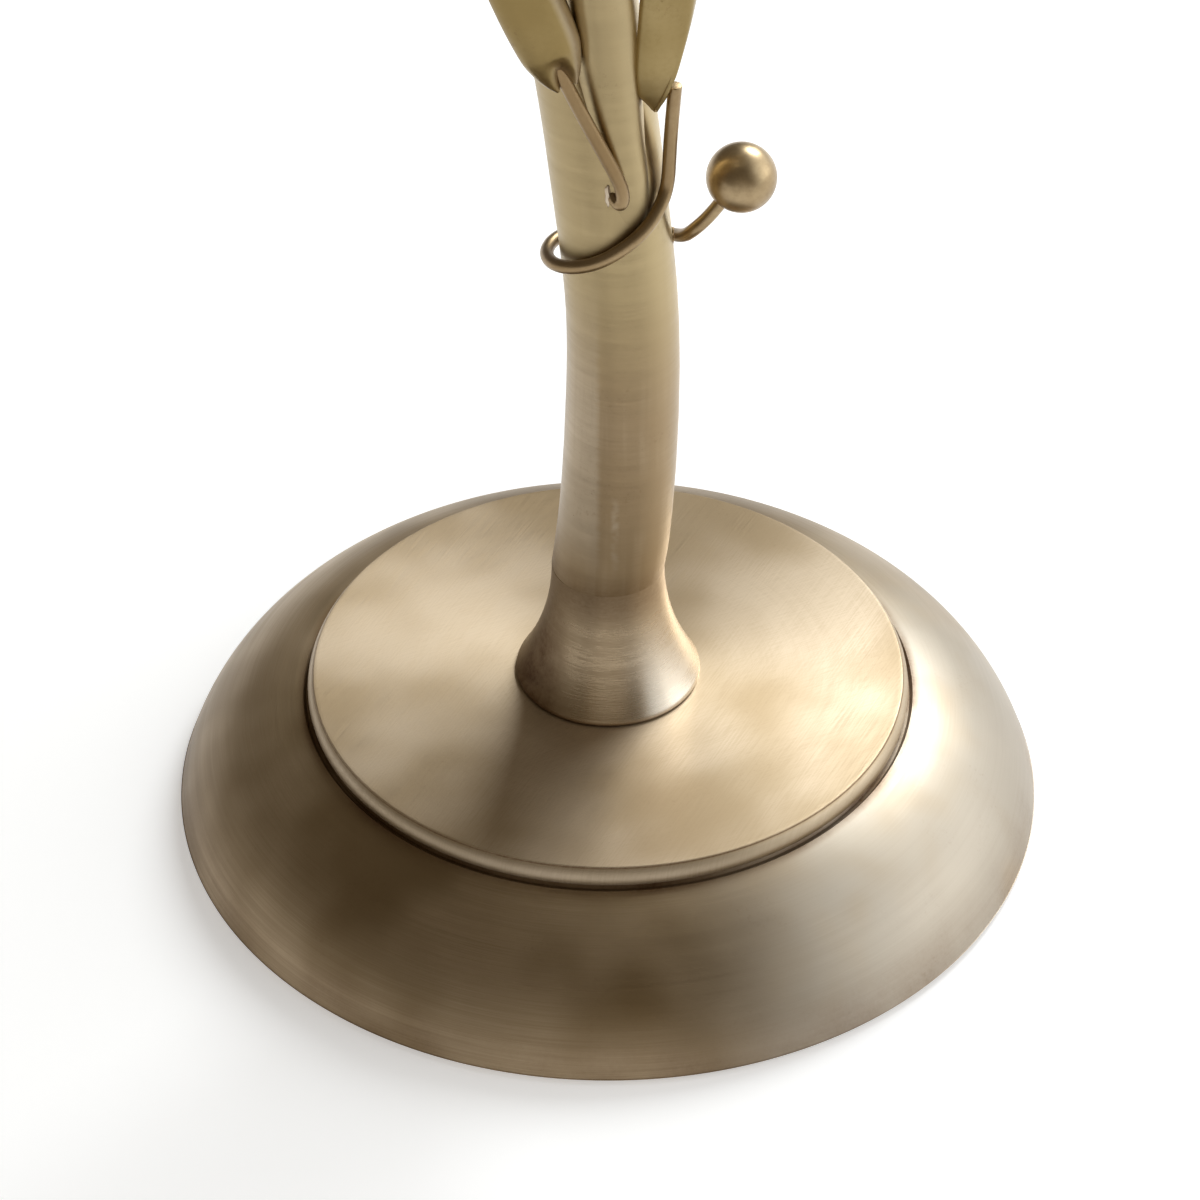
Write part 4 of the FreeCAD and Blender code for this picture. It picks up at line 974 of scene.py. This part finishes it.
class LAMP_OT_base(bpy.types.Operator):
    """Models the shell, the disc and what lies under them"""
    bl_idname = "lamp.base"
    bl_label = "Base"

    def execute(self, context):
        materials = ready_materials()
        low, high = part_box("cord_bushing")
        shell = pierced(turned(shell_outline()), Vector((0, shell_radius, (low.z + high.z) / 2)),
                        Vector((0, 1, 0)), bushing_hole_radius, bushing_cut_depth)
        add_piece("shell", shell, materials["brass_shell"], ["base_shell"])

        edge = sizes().disc_round
        side = sizes().disc_bead
        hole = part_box("foot_nipple")[1].x + nipple_gap
        middle = (disc_radius - side, disc_top - side * bead_drop_share)
        row = [(hole, shoulder_height), (disc_radius - 0.0009, shoulder_height),
               (disc_radius - 0.0005, shoulder_height + 0.0004)]
        row += arc_row(middle, side, math.radians(bead_low_deg), math.radians(bead_high_deg), 16)
        inset = row[-1][0]
        row += arc_row((inset - edge, disc_top - edge), edge, math.radians(35), math.radians(90), 6)
        row += [(inset - 3 * edge, disc_top), (disc_radius / 2, disc_top), (hole, disc_top)]
        disc = turned([(r, min(z, disc_top)) for r, z in row])
        add_piece("disc", disc, materials["brass_disc"], ["base_disc"], crease_deg=40)

        add_piece("bushing", copied("cord_bushing"), materials["black_moulding"],
                  ["cord_bushing"])
        dress("base_weight", materials["cast_iron"])
        low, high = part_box("felt_pad")
        row = [(0.0, low.z), (high.x - edge, low.z)]
        row += arc_row((high.x - edge, low.z + edge), edge, -math.pi / 3, 0, 4)
        row += [(high.x, high.z - edge), (high.x - edge, high.z), (0.0, high.z)]
        add_piece("felt", turned(row), materials["felt"], ["felt_pad"])
        for node in ("base_cover", "cover_screws", "foot_nipple", "foot_washer", "foot_nut",
                     "foot_plug"):
            dress(node, materials["zinc"])
        return {"FINISHED"}


def foot_outline():
    """The flare from the disc to its collar, outside and inside."""
    size = sizes()
    slope = size.foot_slope
    ratio = 1 - math.cos(slope)
    flare = (foot_radius - size.foot_edge_round * ratio - stem_radius) / ratio
    rise = size.foot_lip + (size.foot_edge_round + flare) * math.sin(slope)

    start = disc_top + size.foot_lip + size.foot_edge_round * math.sin(slope)
    stretch = (stem_low - start) / (disc_top + rise - start)

    def side(less):
        edge = arc_row((foot_radius - size.foot_edge_round, disc_top + size.foot_lip),
                       size.foot_edge_round - less, 0, slope, 8)
        curve = arc_row((stem_radius + flare, disc_top + rise), -(flare + less), slope, 0, 30)
        return edge + [(r, start + (z - start) * stretch) for r, z in curve[1:]]

    outer = side(0)
    inner = side(foot_wall)
    low = [(foot_radius - 0.0006, disc_top + 0.00005), (foot_radius - 0.0001, disc_top + 0.00035)]
    top = [(stem_radius, stem_low), (stem_radius - foot_wall, stem_low)]
    bottom = [(foot_radius - foot_wall, disc_top + 0.00005)]
    return low + outer[1:] + top + inner[::-1] + bottom


class LAMP_OT_stem(bpy.types.Operator):
    """Models the flared foot, the swaying main stem and the side stem"""
    bl_idname = "lamp.stem"
    bl_label = "Foot and stems"

    def execute(self, context):
        materials = ready_materials()
        add_piece("foot", turned(foot_outline()), materials["brass_foot"],
                  ["stem_foot"])
        rings = []
        for z, centre, half in stem_rows:
            stretch = Matrix.Diagonal((half.x, half.y, 1.0, 1.0))
            rings.append(Matrix.Translation((centre.x, centre.y, z)) @ stretch)
        rings[0].translation.z = stem_low
        rings[-1].translation.z = stem_high
        add_piece("stem", ringed(rings, 96), materials["brass_tube"], ["main_stem"])
        add_piece("second_stem", ringed(side_rings(), 72), materials["brass_branch"],
                  ["side_stem"])
        return {"FINISHED"}


def bead(centre, across, up, stretch, seed):
    """A small lumpy weld."""
    bm = bmesh.new()
    bmesh.ops.create_icosphere(bm, subdivisions=4, radius=1.0)
    for vert in bm.verts:
        lump = noise.noise(vert.co * 1.7 + Vector((seed, 0, 0))) * 0.28
        vert.co *= 1 + lump
    turn = Matrix((across, up.cross(across), up)).transposed().to_4x4()
    bmesh.ops.transform(bm, verts=bm.verts,
                        matrix=Matrix.Translation(centre) @ turn @ Matrix.Diagonal((*stretch, 1.0)))
    return bm


class LAMP_OT_wires(bpy.types.Operator):
    """Models the tendril, the twigs, the stalks, the berries and the welds that hold them"""
    bl_idname = "lamp.wires"
    bl_label = "Tendril, stalks and berries"

    def execute(self, context):
        brass_wire = ready_materials()["brass_wire"]
        radius = sizes().wire_radius
        courses = {"tendril": tendril_points(), "low_left_stalk": low_stalk_points()}
        for name, share, azimuth_deg, lean in upper_stalks:
            courses[name + "_stalk"] = stalk_points(share, azimuth_deg, lean)
        for name, share, azimuth_deg in upper_berries:
            courses[name + "_berry_twig"] = berry_twig_points(share, azimuth_deg)
        for name, points in courses.items():
            add_piece(name + "_wire", wire(points, radius), brass_wire, [name])
        for node in ("side_berry", "tendril_berry", "left_berry", "right_berry"):
            add_piece(node + "_ball", ball(box_centre(node), sizes().berry_radius), brass_wire,
                      [node])

        weld = sizes().weld_radius
        up = Vector((0, 0, 1))
        root = beside_stem(stem_low + tendril_low + 0.30 * berry_rise, twig_azimuth_deg, 0.0)
        scar = beside_stem(stem_low + scar_low, scar_azimuth_deg, scar_stand)
        hook = beside_stem(stem_low + low_stalk_low + hook_weld_rise, hook_weld_azimuth_deg, 0.0)
        spots = [
            ("twig_weld", root, twig_azimuth_deg, (0.35, 1.0, 1.25)),
            ("scar_weld", scar, scar_facing_deg, (0.20, 0.9, 0.26)),
            ("hook_weld", hook, hook_weld_azimuth_deg, (0.34, 0.40, 1.7)),
        ]
        bare = bpy.data.materials["brass_weld"]
        for name, share, azimuth_deg, lean in upper_stalks:
            spots.append((name + "_weld", stalk_points(share, azimuth_deg, lean)[0], azimuth_deg,
                          (0.9, 1.1, 1.7)))
        for name, share, azimuth_deg in upper_berries:
            at = beside_stem(stem_low + share * stem_length, azimuth_deg, 0)
            spots.append((name + "_twig_weld", at, azimuth_deg, (0.8, 1.2, 1.4)))
        for k, (name, at, azimuth_deg, stretch) in enumerate(spots):
            out = polar(1, math.radians(azimuth_deg))
            shape = bead(at, out, up, tuple(weld * s for s in stretch), 3.1 * k)
            metal = bare if name in ("scar_weld", "hook_weld") else brass_wire
            add_piece(name, shape, metal)
        return {"FINISHED"}


# Leaves

def leaf_sizes(along):
    """Width, crown and bow shares at a share of the length."""
    table = smooth_leaf_rows
    for lower, upper in zip(table, table[1:]):
        if along <= upper[0]:
            mix = (along - lower[0]) / max(upper[0] - lower[0], 1e-9)
            return lower.lerp(upper, mix)
    return table[-1]


smooth_leaf_rows = smooth_row(leaf_outline_shares, 6)


def leaf_inward(up, facing_deg):
    """The direction from a leaf's back to its open side, square to its length."""
    face = polar(1, math.radians(facing_deg))
    return up.cross(up.cross(face)).normalized()


def leaf(origin, up, facing_deg, ridge_share, mouth_side, mouth_depth, narrow=0.0):
    """A hollow pod of thin sheet with a soft ridge and a mouth for its stalk."""
    size = sizes()
    wrap = math.radians(leaf_wrap_deg)
    up = up.normalized()
    face = polar(1, math.radians(facing_deg))
    across = up.cross(face).normalized()
    inward = up.cross(across).normalized()
    bm = bmesh.new()
    bmesh.ops.create_grid(bm, x_segments=40, y_segments=84, size=0.5)
    crease = bm.verts.layers.float.new("crease")
    # The rubbed attribute holds a painted highlight on one lobe of the leaf
    rubbed = bm.verts.layers.float.new("rubbed")
    for vert in bm.verts:
        side = vert.co.x * 2
        along = (vert.co.y + 0.5) ** 1.25
        row = leaf_sizes(along)
        angle = side * wrap
        soft = math.exp(-(angle / 0.42) ** 2)
        x = row[1] * size.leaf_width / 2 * (math.sin(angle) + ridge_share * math.cos(angle))
        t = min(max((along - 0.05) / 0.45, 0.0), 1.0)
        taper = 0.95 * (1 - t * t * (3 - 2 * t))
        x *= 1 - narrow * (taper if x > 0 else 0.10 + 0.5 * max(0.0, 1 - along / 0.07) ** 2)
        crown = row[2] * size.leaf_crown * (math.cos(angle) * 0.9 + soft * 0.16)
        depth = crown + row[3] * size.leaf_bow
        mouth = math.exp(-((side - mouth_side) / 0.24) ** 2) * mouth_depth
        lobes = 0.0030 * side * side + 0.0010 * (side + 1)
        near_mouth = math.exp(-((side - mouth_side) / 0.34) ** 2) * max(0.0, 1 - along / 0.085)
        vert[crease] = 0.9 * near_mouth
        vert[rubbed] = min(max((side - 0.06) / 0.30, 0.0), 1.0) * 0.85
        z = along * size.leaf_length + (mouth + lobes) * max(0.0, 1 - along / 0.16)
        vert.co = origin + across * x - inward * depth + up * z
    bmesh.ops.recalc_face_normals(bm, faces=bm.faces)
    outward = sum((f.normal.dot(-inward) for f in bm.faces), 0.0)
    if outward < 0:
        bmesh.ops.reverse_faces(bm, faces=bm.faces)
    bmesh.ops.solidify(bm, geom=bm.faces[:], thickness=size.leaf_sheet)
    return bm


def finish_leaf(name, bm, node):
    """Puts a leaf in the scene with its sheet's edges softly rounded."""
    crease_deg = 50
    piece = add_piece(name, bm, ready_materials()["brass_leaf"], [node],
                      crease_deg=crease_deg)
    bevel = piece.modifiers.new("edges", "BEVEL")
    bevel.width = 0.00022
    bevel.segments = 2
    bevel.limit_method = "ANGLE"
    bevel.angle_limit = math.radians(crease_deg)


class LAMP_OT_leaves(bpy.types.Operator):
    """Models the hollow pod leaves"""
    bl_idname = "lamp.leaves"
    bl_label = "Leaves"

    def execute(self, context):
        radius = sizes().wire_radius

        def on_stalk(points, facing_deg, ridge_share):
            up = (points[-1] - points[-2]).normalized()
            inward = leaf_inward(up, facing_deg)
            origin = points[-1] - up * stalk_seat + inward * (radius / 2)
            return leaf(origin, up, facing_deg, ridge_share, mouth_side=-0.2, mouth_depth=0.0058)

        shape = on_stalk(low_stalk_points(), low_left_facing_deg, 0.30)
        finish_leaf("low_left_pod", shape, "low_left_leaf")
        for name, share, azimuth_deg, lean in upper_stalks:
            shape = on_stalk(stalk_points(share, azimuth_deg, lean), azimuth_deg, 0.10)
            finish_leaf(name + "_pod", shape, name + "_leaf")

        tip = beside_stem(stem_low + low_right_low, low_right_azimuth_deg, low_right_stand)
        lean = math.radians(low_right_lean_deg)
        up = polar(math.sin(lean), math.radians(low_right_lean_azimuth_deg), math.cos(lean))
        origin = tip + leaf_inward(up, low_right_facing_deg) * (radius / 2)
        shape = leaf(origin, up, low_right_facing_deg, ridge_share=0.35, mouth_side=0.35,
                     mouth_depth=0.0016, narrow=1.0)
        finish_leaf("low_right_pod", shape, "low_right_leaf")
        return {"FINISHED"}


# Neck, socket, bulb and harp

class LAMP_OT_fittings(bpy.types.Operator):
    """Finishes the neck, the socket, the switch, the bulb, the harp and the finial"""
    bl_idname = "lamp.fittings"
    bl_label = "Neck, socket and harp"

    def execute(self, context):
        materials = ready_materials()
        copies = [
            ("brass_foot", "antique_brass", "lamp", ["neck_cap"]),
            ("brass_wire", "antique_brass", "lamp", ["harp_saddle", "harp", "harp_stud"]),
            ("brass_wire", "antique_brass", "finial", ["finial"]),
            ("brass_wire", "antique_brass", "left_ferrule", ["left_ferrule"]),
            ("brass_wire", "antique_brass", "right_ferrule", ["right_ferrule"]),
            ("socket_spun", "socket_brass", "lamp", ["socket_cap", "socket_shell", "screw_shell"]),
            ("zinc", "zinc_steel", "lamp", ["top_nipple", "lock_nut"]),
            ("black_moulding", "black_plastic", "switch", ["switch_knob"]),
            ("zinc", "zinc_steel", "switch", ["switch_shaft"]),
            ("bulb_cap_metal", "bulb_metal", "bulb", ["bulb_cap"]),
            ("frosted_glass", "bulb_glass", "bulb", ["bulb_glass"]),
        ]
        for material, slot, body, nodes in copies:
            for node in nodes:
                add_piece(node + "_surface", copied(node), materials[material], [node], body)
        dress("socket_liner", materials["card"])
        dress("socket_body", materials["unglazed_white"])
        dress("centre_contact", materials["socket_spun"])
        dress("terminal_screws", materials["socket_spun"])
        return {"FINISHED"}


# Shade

def map_round(bm, layer, radius):
    """Maps a turned piece in metres: round its axis and up."""
    uv = bm.loops.layers.uv.new(layer)
    for face in bm.faces:
        middle = face.calc_center_median()
        home = math.atan2(middle.x, -middle.y)
        for loop in face.loops:
            at = loop.vert.co
            angle = math.atan2(at.x, -at.y)
            if angle - home > math.pi:
                angle -= math.tau
            if angle - home < -math.pi:
                angle += math.tau
            loop[uv].uv = (angle * radius, at.z)


class LAMP_OT_shade(bpy.types.Operator):
    """Models the linen shade with its hems and wire frame"""
    bl_idname = "lamp.shade"
    bl_label = "Shade"

    def execute(self, context):
        materials = ready_materials()
        size = sizes()
        low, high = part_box("shade_fabric")
        bottom_radius = high.x
        top_radius = bottom_radius - shade_taper
        height = high.z - low.z
        tape = hem_tape

        def cone(z):
            return bottom_radius + (top_radius - bottom_radius) * (z - low.z) / height

        cloth = size.cloth_thickness
        levels = 40
        outside = [(cone(low.z + height * k / levels) - tape, low.z + height * k / levels)
                   for k in range(levels + 1)]
        inside = [(radius - cloth, z) for radius, z in outside]
        fabric = turned(outside + inside[::-1])
        map_round(fabric, "cloth", (bottom_radius + top_radius) / 2)
        fabric = add_piece("shade_cloth", fabric, materials["linen"], ["shade_fabric"],
                           "shade")
        for name, start, sign in (("bottom_hem", low.z, 1), ("top_hem", high.z, -1)):
            end = start + sign * size.hem_height
            row = [(cone(end) - tape * 0.9, end), (cone(end) - tape * 0.2, end - sign * tape),
                   (cone(start + sign * 0.001), start + sign * 0.001),
                   (cone(start) - tape * 0.6, start + sign * 0.0001),
                   (cone(start) - tape - cloth, start),
                   (cone(start) - 2 * tape - cloth, start + sign * 0.001),
                   (cone(end) - 1.5 * tape - cloth, end), (cone(end) - tape - cloth * 0.9, end)]
            hem = turned(row)
            map_round(hem, "cloth", (bottom_radius + top_radius) / 2)
            add_piece(name, hem, materials["linen"], body="shade")

        for node in ("shade_spider", "shade_bottom_ring"):
            add_piece(node + "_wire", copied(node), materials["frame_white"],
                                         [node], "shade")
        return {"FINISHED"}


# Studio

def lobe(shader, azimuth_deg, elevation_deg, inner_deg, outer_deg):
    """One near a direction, fading to nothing outside it."""
    azimuth, elevation = math.radians(azimuth_deg), math.radians(elevation_deg)
    centre = polar(math.cos(elevation), azimuth, math.sin(elevation))
    near = shader.vector("DOT_PRODUCT", shader.place, tuple(centre))
    return shader.ramp(near, math.cos(math.radians(outer_deg)), math.cos(math.radians(inner_deg)))


class RoomShader(Shader):
    """Builds the world's nodes with the same steps as a material's."""

    def __init__(self, world):
        world.use_nodes = True
        self.tree = world.node_tree
        self.surface = self.tree.nodes["Background"]
        self.place = self.add("ShaderNodeTexCoord").outputs["Generated"]


def build_room(level):
    world = bpy.data.worlds.new("studio")
    bpy.context.scene.world = world
    shader = RoomShader(world)
    bright = room_base
    for azimuth_deg, elevation_deg, inner_deg, outer_deg, more in room_walls:
        near = lobe(shader, azimuth_deg, elevation_deg, inner_deg, outer_deg)
        bright = shader.plus(shader.times(near, more), bright)
    tone = shader.mix(shader.ramp(bright, room_base, 0.75), room_warm, room_cool)
    shader.set(Color=tone, Strength=shader.times(bright, level))


class LAMP_OT_studio(bpy.types.Operator):
    """Sets up the camera, the pale floor, the room and the key light"""
    bl_idname = "lamp.studio"
    bl_label = "Studio"

    def execute(self, context):
        scene = context.scene
        rig = studio()
        scene.view_settings.view_transform = "Standard"
        camera = bpy.data.objects.new("camera", bpy.data.cameras.new("camera"))
        scene.collection.objects.link(camera)
        camera.data.sensor_width = 36.0
        camera.data.lens = rig.camera_lens
        camera.data.clip_start = 0.01
        camera.data.clip_end = 100.0
        tilt = rig.camera_elevation
        back = Vector((0, -math.cos(tilt), math.sin(tilt)))
        camera.location = Vector(rig.camera_aim) + back * rig.camera_distance
        camera.rotation_euler = (math.pi / 2 - tilt, 0, 0)
        scene.camera = camera

        shader = Shader("floor_paint")
        tone = rig.floor_tone
        rays = shader.add("ShaderNodeLightPath").outputs
        passed_on = shader.plus(rays["Is Glossy Ray"], rays["Is Transmission Ray"])
        seen = shader.math("ADD", rays["Is Camera Ray"], passed_on, clamp=True)
        shader.set(Base_Color=(tone,) * 3, Roughness=0.9, Specular_IOR_Level=0.1,
                   Emission_Color=(1.0, 1.0, 1.0), Emission_Strength=shader.times(seen, rig.floor_lift))
        bm = bmesh.new()
        bmesh.ops.create_grid(bm, x_segments=4, y_segments=4, size=floor_size,
                              matrix=Matrix.Translation((0, 0, -floor_drop)))
        mesh = bpy.data.meshes.new("floor")
        bm.to_mesh(mesh)
        bm.free()
        mesh.materials.append(shader.material)
        floor = bpy.data.objects.new("floor", mesh)
        scene.collection.objects.link(floor)

        build_room(rig.room_level)
        key = bpy.data.objects.new("key_light", bpy.data.lights.new("key_light", "AREA"))
        scene.collection.objects.link(key)
        key.data.shape = "DISK"
        key.data.size = rig.key_width
        key.data.energy = rig.key_power
        key.data.color = key_colour
        elevation = math.radians(key_elevation_deg)
        toward = polar(math.cos(elevation), math.radians(key_azimuth_deg), math.sin(elevation))
        key.location = toward * rig.key_distance
        key.rotation_mode = "QUATERNION"
        key.rotation_quaternion = toward.to_track_quat("Z", "Y")
        return {"FINISHED"}


class LAMP_PT_panel(bpy.types.Panel):
    """Lists the lamp's pieces and their sizes, colours and studio"""
    bl_idname = "LAMP_PT_panel"
    bl_label = "Buffet lamp"
    bl_space_type = "VIEW_3D"
    bl_region_type = "UI"
    bl_category = "Lamp"

    def draw(self, context):
        layout = self.layout
        for step in steps:
            layout.operator(step.bl_idname)
        for group in (sizes(), finish(), studio()):
            box = layout.box()
            for name in group.__annotations__:
                box.prop(group, name)


steps = [LAMP_OT_studio, LAMP_OT_base, LAMP_OT_stem, LAMP_OT_wires, LAMP_OT_leaves, LAMP_OT_fittings,
         LAMP_OT_shade]
classes = [LampSizes, LampFinish, LampStudio, *steps, LAMP_PT_panel]


def register():
    for item in classes:
        bpy.utils.register_class(item)
    bpy.types.Scene.lamp_sizes = PointerProperty(type=LampSizes)
    bpy.types.Scene.lamp_finish = PointerProperty(type=LampFinish)
    bpy.types.Scene.lamp_studio = PointerProperty(type=LampStudio)


def unregister():
    del bpy.types.Scene.lamp_studio
    del bpy.types.Scene.lamp_finish
    del bpy.types.Scene.lamp_sizes
    for item in reversed(classes):
        bpy.utils.unregister_class(item)


def main():
    register()
    bpy.ops.lamp.studio()
    bpy.ops.lamp.base()
    bpy.ops.lamp.stem()
    bpy.ops.lamp.wires()
    bpy.ops.lamp.leaves()
    bpy.ops.lamp.fittings()
    bpy.ops.lamp.shade()


if __name__ == "__main__":
    main()
